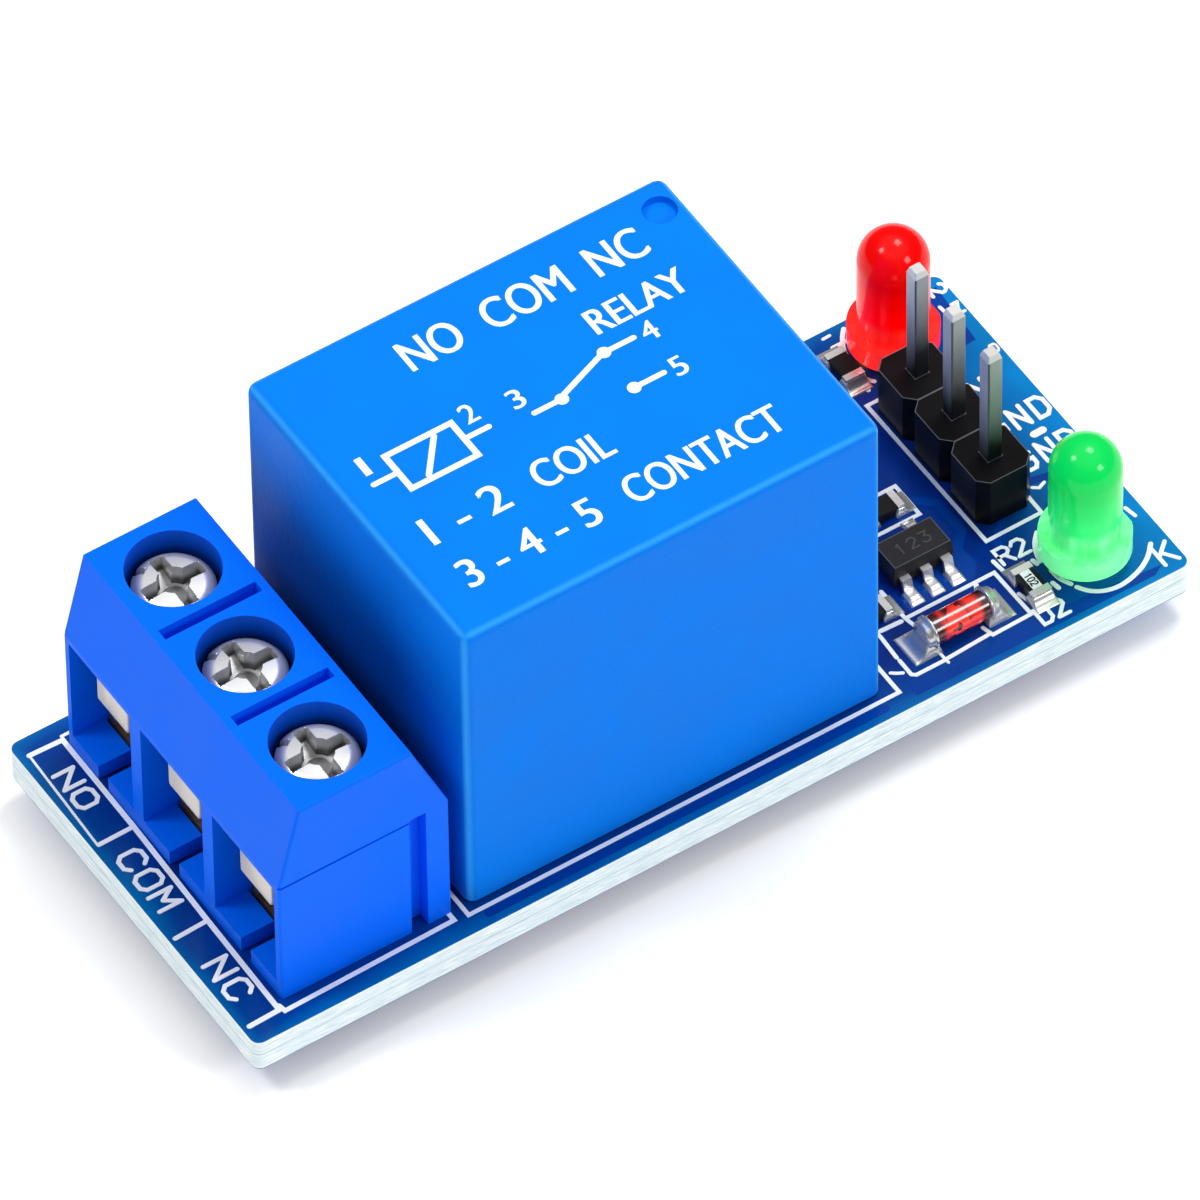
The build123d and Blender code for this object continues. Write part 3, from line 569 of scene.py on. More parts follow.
def board_material():
    """Glossy blue solder mask on both faces with a painted sheen, a paler blue band near the edges and
    towards the +X end, and on the edges the cut laminate with its layers of glass cloth."""
    material, tree = new_material(
        "solder mask and laminate", linear(0, 50, 130), 0.3, Coat_Roughness=0.1, Specular_IOR_Level=0.2,
        Specular_Tint=linear(90, 180, 255),
    )
    x, y, z = axes(tree)
    waviness, cloth_depth, face_depth = 1.6, 0.75, 0.03
    drift = noise(tree, places(tree), 220.0, detail=4.0)
    edge = (BOARD_HI[0] - abs(x)).least(BOARD_HI[1] - abs(y)) + (drift - 0.5) * waviness
    mask = mix(spread(drift, 0.4, 0.6), linear(0, 28, 104), linear(0, 46, 134))
    # Painted sheen: paler blue near the edges, palest at the very edge, and paler towards the +X end
    mask = mix(spread(edge, 0.3, 2.4, 1.0, 0.0), mask, linear(0, 66, 148))
    mask = mix(spread(edge, -0.3, 0.7, 1.0, 0.0), mask, linear(0, 112, 176))
    mask = mix(spread(x, BOARD_HI[0] - 6.0, BOARD_HI[0] - 0.3, 0.0, 0.75), mask, linear(0, 128, 200))
    streak_place = node(tree, "ShaderNodeCombineXYZ", None, X=x + y, Y=z * 14.0, Z=0.0).outputs[0]
    streak = noise(tree, streak_place, 0.9, detail=5.0, roughness=0.65)
    cloth = abs(z - (BOARD_TOP - cloth_depth))
    cut = mix(spread(streak, 0.38, 0.62), linear(206, 228, 230), linear(252, 255, 255))
    cut = mix(spread(cloth, 0.0, 0.07, 0.45, 0.0), cut, linear(120, 176, 188))
    cut = mix(spread(z, BOARD_TOP - 0.22, BOARD_TOP - 0.1, 0.0, 0.7), cut, linear(240, 250, 250))
    face = (z > BOARD_TOP - face_depth).most(z < BOARD_BOTTOM + face_depth)
    gloss = spread(face, 0.0, 1.0, 0.6, 0.3)
    feed(tree, Base_Color=mix(face, cut, mask), Roughness=gloss, Coat_Weight=face * 0.1)
    bump(tree, noise(tree, places(tree), 2600.0) * spread(face, 0.0, 1.0, 1.0, 0.2), 0.03)
    return material


def glass_material(lo, hi):
    """Red glass of the diode. Its ends are dark, and small dark marks of the chip and its band show in
    the middle. It also emits its own colour, a painted glow."""
    material, tree = new_material(
        "red diode glass", linear(236, 34, 12), 0.2, Transmission_Weight=0.08, IOR=1.5, Coat_Weight=0.7,
        Coat_Roughness=0.16, Emission_Strength=0.25,
    )
    drift = noise(tree, places(tree), 1300.0, detail=4.0)
    along = spread(axes(tree)[0], lo[0], hi[0]) + (drift - 0.5) * 0.16
    ring = spread(abs(along - 0.5), 0.3, 0.4)
    flecks = spread(noise(tree, places(tree, (1.3, 1, 1)), 1700.0, detail=2.0), 0.5, 0.54)
    middle = spread(abs(along - 0.42), 0.16, 0.26, 1.0, 0.0)
    color = mix(spread(drift, 0.35, 0.65), linear(214, 14, 6), linear(255, 52, 24))
    color = mix(ring.most(flecks * middle), color, linear(62, 4, 12))
    # Painted glow: the glass emits its own colour
    feed(tree, Base_Color=color, Emission_Color=color)
    return material


def lens_material(name, deep, body, pale, clear, painted_glow):
    """Cast resin of a lamp: a deep colour in the dome, a lighter body, and near the foot, where the
    resin is clear, paler with upright streaks. It also emits its own colour, a painted glow for light
    carried through the resin."""
    material, tree = new_material(
        name, deep, 0.2, Transmission_Weight=clear, IOR=1.45, Coat_Weight=0.3, Coat_Roughness=0.12,
        Specular_IOR_Level=0.16, Emission_Strength=painted_glow, Specular_Tint=toned(pale, 0.7, 0.3),
        Coat_Tint=toned(pale, 0.5, 0.5),
    )
    foot = BOARD_TOP + 0.6
    height = axes(tree)[2] - foot + (noise(tree, places(tree), 420.0) - 0.5) * 0.5
    streak_noise = noise(tree, places(tree, (1, 1, 0.12)), 1500.0, detail=1.0)
    low = mix(spread(streak_noise, 0.42, 0.6, 0.0, 0.6), pale, deep)
    color = mix(spread(height, 2.6, 4.4), body, deep)
    color = mix(spread(height, 1.7, 2.2, 0.75, 0.0), color, low)
    color = mix(spread(height, 0.7, 1.15, 0.8, 0.0), color, pale)
    # Painted glow: the unlit resin emits its own colour
    feed(tree, Base_Color=color, Emission_Color=color)
    return material


# A finish is its name, colour, roughness, fine bumps to a metre and their depth in millimetres, and
# then what differs from the usual drift, shine and metal
MATERIALS = {
    # The terminal block's plastic gets painted shade down its wells and slots
    "terminal_blue": painted_well_shade(
        finished("terminal block plastic", linear(0, 104, 250), 0.42, 9000.0, 0.003, tone=0.03, shine=0.1)
    ),
    # The relay case gets a painted highlight along its edges
    "relay_blue": painted_edge_highlight(
        shaded_side(
            finished("relay case plastic", linear(3, 120, 230), 0.55, 4200.0, 0.02, tone=0.04, shine=0.1)
        ),
        "relay_case",
        linear(70, 186, 255),
    ),
    "relay_base": finished("relay base plastic", linear(50, 52, 56), 0.55, 5000.0, 0.01),
    "header_black": finished(
        "header plastic", linear(19, 18, 20), 0.36, 7000.0, 0.005, tone=0.2, shine=0.16
    ),
    "chip": finished("chip moulding", linear(46, 45, 47), 0.5, 9000.0, 0.008, tone=0.12, shine=0.25),
    "resistor": finished("resistor coat", linear(26, 26, 28), 0.36, 8000.0, 0.004, tone=0.2, shine=0.35),
    "bobbin": finished("bobbin plastic", linear(236, 232, 218), 0.5, 5000.0, 0.008, tone=0.04),
    "winding": finished(
        "copper winding", linear(190, 96, 44), 0.3, 900.0, 0.05, scale=(1, 1, 12), metal=0.9
    ),
    "iron": finished("plated iron", linear(168, 170, 172), 0.34, 4000.0, 0.006, metal=1.0),
    "contact_strip": finished("copper alloy strip", linear(206, 150, 96), 0.3, 4000.0, 0.004, metal=1.0),
    "contact_silver": finished("silver contact", linear(228, 228, 224), 0.22, 5000.0, 0.003, metal=1.0),
    "cage": finished("plated cage strip", linear(176, 142, 96), 0.3, 2500.0, 0.003, tone=0.12, metal=0.85),
    "guard": finished(
        "plated guard strip", linear(226, 219, 206), 0.42, 1500.0, 0.003, tone=0.06, metal=0.45
    ),
    # The screws get painted shade in their head recesses
    "screw": painted_recess_shade(
        finished("bright zinc", linear(226, 226, 226), 0.27, 3000.0, 0.003, tone=0.06, gloss=0.05, metal=0.7)
    ),
    "pin": pin_shade(
        finished(
            "bright tin plate", linear(216, 214, 210), 0.4, 900.0, 0.006, tone=0.12, gloss=0.06, metal=0.25,
            scale=(1, 1, 0.12),
        )
    ),
    "lead": finished("tinned steel", linear(216, 215, 212), 0.28, 3000.0, 0.004, tone=0.1, metal=0.75),
    "solder": finished(
        "bright solder", linear(212, 211, 208), 0.27, 900.0, 0.008, tone=0.08, gloss=0.06, metal=0.7
    ),
    "ink": finished("white print", linear(246, 250, 254), 0.5, 7000.0, 0.01, broad=900.0, tone=0.05),
    "dull_ink": finished("dull chip mark", linear(74, 74, 70), 0.6, 7000.0, 0.005, broad=900.0, tone=0.1),
    "roof_ink": finished(
        "white roof print", linear(232, 240, 252), 0.6, 5000.0, 0.01, broad=900.0, tone=0.05
    ),
    "track": finished(
        "copper track under mask", linear(0, 60, 150), 0.2, 2500.0, 0.005, tone=0.08, shine=0.2,
        Coat_Weight=0.1, Coat_Roughness=0.08,
    ),
    # A paler grey for the painted highlights along black top edges
    "rim_highlight_paint": finished("painted highlight on black edges", linear(92, 94, 98), 0.4, 5000.0, 0.003),
    "red_lens": lens_material(
        "red lamp resin", linear(190, 0, 0), linear(236, 0, 0), linear(250, 46, 40), clear=0.08, painted_glow=0.72
    ),
    "green_lens": lens_material(
        "green lamp resin", linear(8, 182, 80), linear(40, 214, 110), linear(128, 240, 166), clear=0.16,
        painted_glow=0.56,
    ),
    "diode_glass": glass_material(*box_of("diode_glass")),
    "board": board_material(),
}


# CAD pieces that keep their own shape take their slot's material
for row in frame["record"]["subparts"]:
    piece = frame["nodes"][row["node"]]
    piece.data.materials.clear()
    piece.data.materials.append(MATERIALS[row["material_slot"]])


# Printed legend on the board
def legend():
    """White lines and letters on the top face: frames round the pieces, terminal and pin names."""
    low, high, pen = BOARD_TOP - SUNK, BOARD_TOP + INK, 0.17
    parts = []

    def line(points, width=pen, closed=False):
        """Adds one pen line, a hair higher than the last one."""
        parts.append(stroke(points, width, low, high + 0.0012 * (len(parts) % 9), closed))

    def words(text, corner, height, along=(1, 0), up=(0, 1), width=pen, spacing=5.9, narrow=0.84):
        """Adds a word from its lower left corner, with the ways that it reads along and stands up."""
        parts.extend(pen_text(text, corner, height, along, up, width, low, high + 0.011, spacing, narrow))

    # Relay and terminal outlines, and the name frames along the terminal end
    line([(-11.3, -8.0), (8.5, -7.98), (8.5, 8.0), (-11.3, 8.0)], 0.18, closed=True)
    line([(-11.9, -7.45), (-11.9, -7.9), (-19.66, -8.04), (-19.72, -7.7)], 0.2)
    line([(-19.52, 8.1), (-11.9, 8.0)], 0.14)
    end_frame = [(-21.2, -7.93), (-19.82, -7.88), (-19.74, -2.69), (-19.61, 2.78), (-19.58, 7.92)]
    line(end_frame + [(-21.07, 7.97)], 0.22)
    line([(-21.07, 7.97), (-21.25, 2.8)], 0.1)
    line([(-19.7, 2.78), (-21.2, 2.76)], 0.2)
    line([(-19.8, -2.69), (-21.25, -2.75)], 0.2)
    words("NO", (-20.87, 6.56), 0.9, (0, -1), (1, 0), 0.18, 5.7, 1.36)
    words("COM", (-21.05, 1.8), 1.02, (0, -1), (1, 0), 0.18, 5.85, 1.17)
    words("NC", (-21.12, -4.52), 1.04, (0, -1), (1, 0), 0.18, 6.2, 1.15)

    # Header, diode and resistor frames
    line([(15.47, 4.72), (15.51, -3.56), (18.1, -3.54), (18.2, 4.72)], closed=True)
    line([(10.71, -3.41), (10.74, -5.05), (10.84, -5.55)])
    line([(10.84, -5.05), (14.88, -5.04), (14.91, -7.56), (13.1, -7.6), (12.97, -7.1)])
    line([(13.04, -7.5), (11.0, -7.61)])
    line([(10.88, -7.3), (10.9, -7.8)], 0.13)
    line([(10.85, -7.63), (9.52, -7.63), (9.37, -7.5), (9.38, -6.68)])
    line([(9.37, -6.5), (9.43, -5.33), (9.42, -4.4)])
    line([(9.6, -5.04), (10.52, -5.08)], 0.2)
    line([(13.95, -5.16), (13.85, -5.4)], 0.2)
    line([(8.75, -7.0), (8.96, -7.16), (9.15, -7.26)], 0.15)
    line(rectangle((11.35, -0.98), (14.12, 0.72)), closed=True)
    line([(15.16, -4.55), (15.25, -5.56)], 0.18)
    line([(15.08, -6.45), (15.22, -7.08)], 0.16)
    line([(16.46, -5.37), (16.5, -5.6)], 0.2)
    line([(16.47, -6.73), (16.52, -7.06)], 0.2)

    # Lamp outlines, each a broken ring
    line(rounded([(17.39, -4.28), (17.03, -4.64), (16.76, -5.16), (16.68, -5.56)]), 0.2)
    line(rounded([(16.77, -6.18), (16.8, -6.7), (17.03, -7.16)]), 0.2)
    line([(20.93, -5.16), (21.03, -5.69)], 0.16)
    bow = [(17.13, -7.42), (17.41, -7.86), (17.92, -8.2), (18.64, -8.33), (19.6, -8.1), (20.3, -7.69)]
    line(rounded(bow + [(20.73, -7.2)]), 0.2)
    line(rounded([(16.9, 8.5), (16.59, 8.15), (16.29, 7.6), (16.2, 7.21), (16.16, 5.9), (16.4, 5.6)]), 0.19)

    # Pin names beside the header, a dash mark, and plain names of the small pieces
    words("IN", (18.55, 2.42), 1.02, width=0.18, spacing=5.0, narrow=0.87)
    words("GND", (18.77, 0.45), 1.01, width=0.18, spacing=6.75, narrow=0.87)
    words("GND", (18.79, -1.54), 1.0, width=0.18, spacing=6.75, narrow=0.87)
    line([(20.07, -0.1), (20.48, -0.09)], 0.33)
    line([(18.5, -2.3), (18.72, -2.46), (19.04, -2.33)], 0.14)
    words("2", (20.72, 8.36), 0.68, (0, -1), (1, 0), 0.15, narrow=1.0)
    line([(20.64, 7.34), (20.67, 7.05)], 0.15)
    words("N", (21.08, 7.2), 0.28, (0, -1), (1, 0), 0.13, narrow=3.0)
    words("0", (21.08, 4.62), 0.3, (0, -1), (1, 0), 0.1, narrow=2.0)
    words("K", (20.6, -8.42), 1.02, width=0.17, narrow=0.95)
    words("D2", (15.05, -8.3), 0.82, width=0.16, spacing=5.4, narrow=0.92)
    words("R2", (15.42, -4.93), 0.8, width=0.15, spacing=5.4, narrow=1.0)
    words("R4", (9.1, -2.9), 0.75, width=0.13)
    words("R1", (12.0, 1.1), 0.8, width=0.13)
    words("1", (16.0, 8.4), 1.3, (0, -1), (1, 0), 0.18, narrow=1.0)
    line([(15.93, 8.5), (16.25, 8.52)], 0.14)
    line([(15.9, 6.3), (15.96, 5.35)], 0.19)
    words("D1", (13.75, 4.9), 0.8, (0, -1), (1, 0), 0.13)
    return parts


build("board_legend", legend(), MATERIALS["ink"])


# Print on the relay's roof: a plain diagram of a changeover contact and its coil, with pin numbers
def roof_print():
    """White marks on the roof, all generic: terminal names, a contact and coil diagram, numbers."""
    low, high, post = ROOF - 0.003, ROOF + 0.004, 0.28
    parts = []

    def line(points, width=0.24, closed=False):
        """Adds one pen line, a hair higher than the last one."""
        parts.append(stroke(points, width, low, high + 0.001 * (len(parts) % 4), closed))

    def words(text, corner, height, width, bold=0.07):
        """Adds words along the roof's length."""
        parts.extend(type_text(text, corner, height, width, low, high, bold))

    words("NO", (-5.4, 4.45), 1.55, 2.55)
    words("COM", (-1.75, 4.45), 1.55, 3.75)
    words("NC", (3.1, 4.45), 1.55, 2.4)
    words("RELAY", (1.45, 2.1), 1.25, 4.35)
    words("1 - 2", (-9.4, -3.2), 1.4, 3.6)
    words("COIL", (-4.5, -3.2), 1.4, 3.4)
    words("3 - 4 - 5", (-9.4, -5.75), 1.4, 6.1)
    words("CONTACT", (-2.0, -5.75), 1.4, 7.0)

    # Coil: a box with a slanted stroke and two leads
    line(rectangle((-8.6, -0.35), (-5.6, 1.55)), 0.26, closed=True)
    line([(-7.7, -0.15), (-6.5, 1.35)])
    line([(-9.7, 0.6), (-8.75, 0.6)])
    line([(-5.45, 0.6), (-4.5, 0.6)])
    words("1", (-9.7, 1.1), 0.95, 0.3, 0.04)
    words("2", (-5.1, 1.1), 0.95, 0.6, 0.04)

    # Changeover contact: a blade from the common post to one of two others
    line([(-2.7, 0.2), (-1.6, 0.2)])
    line([(-1.35, 0.32), (0.95, 1.2)])
    for y in (-0.85, 1.25):
        line([(1.35, y), (2.5, y)])
        parts.append(dot((1.15, y), post, low, high + 0.003))
    parts.append(dot((-1.45, 0.2), post, low, high + 0.003))
    words("3", (-3.2, 0.7), 0.95, 0.6, 0.04)
    words("4", (2.85, 0.75), 0.95, 0.66, 0.04)
    words("5", (2.85, -1.35), 0.95, 0.6, 0.04)
    return parts


build("roof_print", roof_print(), MATERIALS["roof_ink"])


# Solder on the surface pads
def smd_solder():
    """Tinned pads with solder drawn up to each end: thickness 0.05 + rise * exp(-(d / reach)^1.2),
    where d is the distance from the end's footprint."""
    parts = []

    def pad(corner, opposite, lo, hi, rise, reach, cells=(26, 26)):
        """One pad with its solder, round a footprint."""
        edge = 0.09

        def height(x, y):
            """Thickness of the tin, rounded off at the pad's rim."""
            d = outside(x, y, lo, hi)
            inner = np.minimum.reduce([x - corner[0], opposite[0] - x, y - corner[1], opposite[1] - y])
            rim = np.clip(inner / edge, 0, 1)
            tin = 0.05 + rise * np.exp(-((d / reach) ** 1.2))
            return tin * np.sqrt(np.clip(rim * (2 - rim), 0.02, 1))

        parts.append(height_field(corner, opposite, height, BOARD_TOP, cells))

    for name in ("green_lamp", "bias", "input", "red_lamp"):
        lo, hi = box_of(f"{name}_resistor_ends")
        axis = int(np.argmax((hi - lo)[:2]))
        for side in (-1, 1):
            end = hi[axis] if side > 0 else lo[axis]
            corner, opposite = lo[:2] - 0.1, hi[:2] + 0.1
            foot_lo, foot_hi = lo[:2].copy(), hi[:2].copy()
            inner, outer = end - side * 0.45, end + side * 0.5
            corner[axis], opposite[axis] = min(inner, outer), max(inner, outer)
            foot_lo[axis], foot_hi[axis] = min(end, end - side * 0.3), max(end, end - side * 0.3)
            pad(corner, opposite, foot_lo, foot_hi, rise=0.34, reach=0.16)

    lo, hi = box_of("diode_caps")
    for side, end in ((-1, lo[0]), (1, hi[0])):
        outer, inner = end + side * 0.65, end - side * 0.62
        corner = (min(outer, inner), lo[1] + 0.05)
        opposite = (max(outer, inner), hi[1] + 0.2)
        foot_lo = (min(end, end - side * 0.4), lo[1] + 0.25)
        foot_hi = (max(end, end - side * 0.4), hi[1] - 0.25)
        pad(corner, opposite, foot_lo, foot_hi, rise=0.6, reach=0.2, cells=(44, 36))

    lo, hi = box_of("chip_leads")
    middle, pitch, pad_half, lead_half = (lo[0] + hi[0]) / 2, 0.95, 0.32, 0.21
    for side, columns in ((-1, (-1, 0, 1)), (1, (-1, 1))):
        toe = lo[1] if side < 0 else hi[1]
        for column in columns:
            x = middle + column * pitch
            outer, inner = toe + side * 0.3, toe - side * 0.5
            corner, opposite = (x - pad_half, min(outer, inner)), (x + pad_half, max(outer, inner))
            foot_lo = (x - lead_half, min(toe, toe - side * 0.4))
            foot_hi = (x + lead_half, max(toe, toe - side * 0.4))
            pad(corner, opposite, foot_lo, foot_hi, rise=0.14, reach=0.1, cells=(16, 20))
    return parts


build("surface_solder", smd_solder(), MATERIALS["solder"], sharp=75)


# Terminal screws with their cross recess and thread
def shaft_radius(number):
    """Radius of a screw's shaft, from the points of its CAD node near the tip."""
    points = points_of(f"terminal_screw_{number}")
    low = points[points[:, 2] < (points[:, 2].min() + points[:, 2].max()) / 2]
    return np.ptp(low[:, 0]) / 2


def screw(number):
    """A terminal screw. Its head's height is crown - 0.1 (r / R)^2 - rim - cut, where cut is the recess,
    four arms and a round middle, and a notch at the rim. Under the head the radius follows a thread,
    R - 0.08 |triangle wave of z / pitch + angle|, down to a bevelled tip."""
    lo, hi = box_of(f"terminal_screw_{number}")
    middle = (lo + hi) / 2
    radius, crown = (hi[0] - lo[0]) / 2, hi[2]
    side_low, shaft, pitch, thread = crown - 1.3, shaft_radius(number) - 0.01, 0.5, 0.08
    arm_half, arm_reach, round_radius = 0.285, 1.3, 0.64
    notch_half, notch_start, notch_depth = 0.14, 1.2, 0.35
    steps = 200
    around = circle(steps)
    turn = np.arange(steps) / steps
    r = np.linspace(0.02, radius, 80)[:, None] * np.ones(steps)
    x, y = r * around[:, 0], r * around[:, 1]

    def inside(distance):
        """1 where a distance is positive, with a soft edge."""
        return np.clip(distance / 0.035 + 0.5, 0, 1)

    def ring(size, level):
        """A ring at a level, with one radius or one for each of its points."""
        return np.column_stack([around * np.reshape(size, (-1, 1)), np.full(steps, level)])

    arms = np.maximum(
        inside(arm_half - np.abs(y)) * inside(arm_reach - np.abs(x)),
        inside(arm_half - np.abs(x)) * inside(arm_reach - np.abs(y)),
    )
    depth = 0.98 - 0.3 * np.clip((r - 0.5) / 0.8, 0, 1)
    recess = np.maximum(arms, inside(round_radius - r)) * depth
    to_notch = math.radians(124)
    across = np.abs(math.cos(to_notch) * y - math.sin(to_notch) * x)
    outwards = math.cos(to_notch) * x + math.sin(to_notch) * y
    notch = inside(notch_half - across) * inside(outwards - notch_start) * notch_depth
    rim = 0.3 * np.clip((r - radius + 0.5) / 0.5, 0, 1) ** 2
    level = crown - 0.1 * (r / radius) ** 2 - rim - np.maximum(recess, notch)
    rings = list(np.stack([x, y, level], axis=-1))
    rings += [ring(radius, side_low + 0.05), ring(radius - 0.05, side_low), ring(shaft, side_low)]
    for thread_level in np.arange(side_low - 0.1, lo[2] + 0.3, -pitch / 5):
        wave = np.abs((thread_level / pitch + turn) % 1 - 0.5) * 2
        rings.append(ring(shaft - thread * wave, thread_level))
    rings += [ring(shaft - thread, lo[2] + 0.28), ring(shaft - 0.31, lo[2])]
    return skin(np.array(rings[::-1]) + (middle[0], middle[1], 0))


for number in (1, 2, 3):
    body = f"screw_{number}"
    piece = build(f"{body}_dressed", [screw(number)], MATERIALS["screw"], body, sharp=35)
    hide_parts(f"terminal_screw_{number}")


# Wire guards: a bent strip behind each window
def strip(path, half_widths, middle, thickness):
    """A bent strip in the XZ plane, at middle in Y. Each ring is an eight-sided section across the
    strip, at the path's point plus or minus half the thickness along the path's normal."""
    path = np.asarray(path, float)
    tangent = np.gradient(path, axis=0)
    tangent /= np.linalg.norm(tangent, axis=1)[:, None]
    half, bevel = thickness / 2, 0.07
    side = np.array([1, 1, -1, -1, -1, -1, 1, 1])
    inset = bevel * np.array([0, 1, 1, 0, 0, 1, 1, 0])
    through = np.array([half - bevel, half, half, half - bevel, bevel - half, -half, -half, bevel - half])
    x = path[:, :1] - tangent[:, 1:] * through
    y = middle + side * (half_widths[:, None] - inset)
    z = path[:, 1:] + tangent[:, :1] * through
    return skin(np.stack([x, y, z], axis=-1))


def guard(number):
    """A wire guard: down behind the window, round a bend and back under the screw. Towards the bend its
    half width narrows like a rounded rectangle's corner, by corner (1 - sqrt(1 - rise^2)), and behind
    the bend it widens evenly again."""
    lo, hi = box_of(f"wire_guard_{number}")
    thickness, bend, corner = 0.35, 0.5, 0.4
    half = thickness / 2
    down = [(lo[0] + half, z) for z in np.linspace(hi[2], lo[2] + bend, 24)]
    turn = np.linspace(math.pi, 1.5 * math.pi, 10)[1:]
    reach = bend - half
    bent = [(lo[0] + bend + reach * math.cos(t), lo[2] + bend + reach * math.sin(t)) for t in turn]
    back = [(x, lo[2] + half) for x in np.linspace(lo[0] + bend, hi[0], 12)[1:]]
    height = np.array(down + bent)[:, 1] - lo[2] - half
    rise = np.clip(1 - height / corner, 0, 1)
    narrowed = 1 - np.sqrt(1 - rise**2)
    widened = np.maximum(1 - np.arange(len(back)) / 4, 0)
    half_widths = (hi[1] - lo[1]) / 2 - corner * np.concatenate([narrowed, widened])
    return strip(down + bent + back, half_widths, (lo[1] + hi[1]) / 2, thickness)


for number in (1, 2, 3):
    body = f"guard_{number}"
    piece = build(f"{body}_dressed", [guard(number)], MATERIALS["guard"], body, sharp=50)
    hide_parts(f"wire_guard_{number}")


# Header pins with rubbed corners and bevelled tips
def header_pin(number):
    """A square pin. Each ring is a square with rounded corners, the corner's middle plus or minus
    corner (cos t, sin t), and the last rings at both ends taper."""
    lo, hi = box_of(f"header_pin_{number}")
    middle, half, corner = (lo + hi) / 2, (hi[0] - lo[0]) / 2, 0.035
    levels = [(lo[2], 0.55), (lo[2] + 0.3, 1.0)]
    levels += [(z, 1.0) for z in np.linspace(lo[2] + 0.6, hi[2] - 0.3, 6)]
    levels += [(hi[2] - 0.02, 0.74), (hi[2], 0.7)]
    quarters = np.arange(4)[:, None] * math.pi / 2
    angles = (quarters + np.linspace(0, math.pi / 2, 4)).ravel()
    signs = np.repeat(rectangle((1, 1), (-1, -1)), 4, axis=0)
    curve = corner * np.column_stack([np.cos(angles), np.sin(angles)])
    rings = []
    for level, size in levels:
        ring = middle[:2] + (half * size - corner) * signs + curve
        rings.append(np.column_stack([ring, np.full(len(ring), level)]))
    return skin(rings)


for number in (1, 2, 3):
    piece = build(f"pin_{number}_dressed", [header_pin(number)], MATERIALS["pin"], sharp=12)
    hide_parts(f"header_pin_{number}")


def painted_rim_highlights():
    """Painted highlights: thin pale lines along the top edges of the header's three blocks and of the chip.
    """
    points = points_of("header_housing")
    top = points[:, 2].max()
    points = points[points[:, 2] > top - 0.01]
    low, high = top - 0.003, top + 0.004
    parts = []
    for number in (1, 2, 3):
        lo, hi = box_of(f"header_pin_{number}")
        middle = ((lo + hi) / 2)[:2]
        away = points[:, :2] - middle
        far = np.abs(away).max(axis=1)
        loop = np.unique(np.round(away[(far < 1.4) & (far > 0.5)], 3), axis=0)
        loop = loop[np.argsort(np.arctan2(loop[:, 1], loop[:, 0]))]
        parts.append(stroke(middle + loop * 0.985, 0.035, low, high, closed=True))
        parts.append(stroke(rectangle(lo - 0.02, hi + 0.02), 0.03, low, high, closed=True))
    lo, hi = box_of("chip_body")
    parts.append(stroke(rectangle(lo + 0.1, hi - 0.1), 0.03, hi[2] - 0.003, hi[2] + 0.002, closed=True))
    return parts


# Painted highlights along the top edges of the header and the chip
build("painted_rim_highlights", painted_rim_highlights(), MATERIALS["rim_highlight_paint"])


# Solder round the leads on the underside
def feet(name):
    """Middles and half widths of a node's leads where they come out under the board."""
    points, same_lead = points_of(name), 1.6
    groups = []
    for point in points[points[:, 2] < BOARD_BOTTOM - 0.1]:
        for group in groups:
            if np.hypot(*(group[0][:2] - point[:2])) < same_lead:
                group.append(point)
                break
        else:
            groups.append([point])
    ends = [(np.min(group, axis=0)[:2], np.max(group, axis=0)[:2]) for group in groups]
    return [((lo + hi) / 2, (hi - lo) / 2) for lo, hi in ends]


LEADS = [f"{kind}_{number}" for kind in ("terminal_cage", "header_pin") for number in (1, 2, 3)]
LEADS += ["red_lamp_leads", "green_lamp_leads", "relay_coil_pins"]
LEADS += ["relay_open_contact", "relay_closed_contact", "relay_common"]
FEET = {name: feet(name) for name in LEADS}


def under_solder():
    """Hollow-sided solder cones: radius = lead + gap + spread_out (1 - t)^2.4 at t of the height."""
    gap, spread_out, tall = 0.05, 0.42, 0.9
    parts = []
    for name in LEADS:
        for middle, half in FEET[name]:
            lead = half[0] if name == "relay_coil_pins" else np.hypot(*half)
            t = np.linspace(1, 0, 12)
            radius = lead + gap + spread_out * (1 - t) ** 2.4
            profile = np.column_stack([radius, BOARD_BOTTOM - tall * t])
            parts.append(turned(profile, (middle[0], middle[1], 0)))
    return parts


piece = build("lead_solder", under_solder(), MATERIALS["solder"])
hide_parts("solder_joints")


# Copper under the mask on the underside, and the broad tinned tracks of the relay's contacts
def contact_tracks():
    """Broad tinned ridges from the terminals' pins to the relay's contacts."""
    first, second = FEET["relay_open_contact"][0][0], FEET["relay_closed_contact"][0][0]
    upper, lower = (first, second) if first[1] > second[1] else (second, first)
    contacts = (upper, lower, FEET["relay_common"][0][0])
    parts = []
    for number, (terminal, contact) in enumerate(zip((1, 3, 2), contacts)):
        depth = 0.06 + 0.001 * number
        line = [FEET[f"terminal_cage_{terminal}"][0][0], contact]
        parts.append(stroke(line, 2.0, BOARD_BOTTOM - depth, BOARD_BOTTOM + SUNK))
    return parts


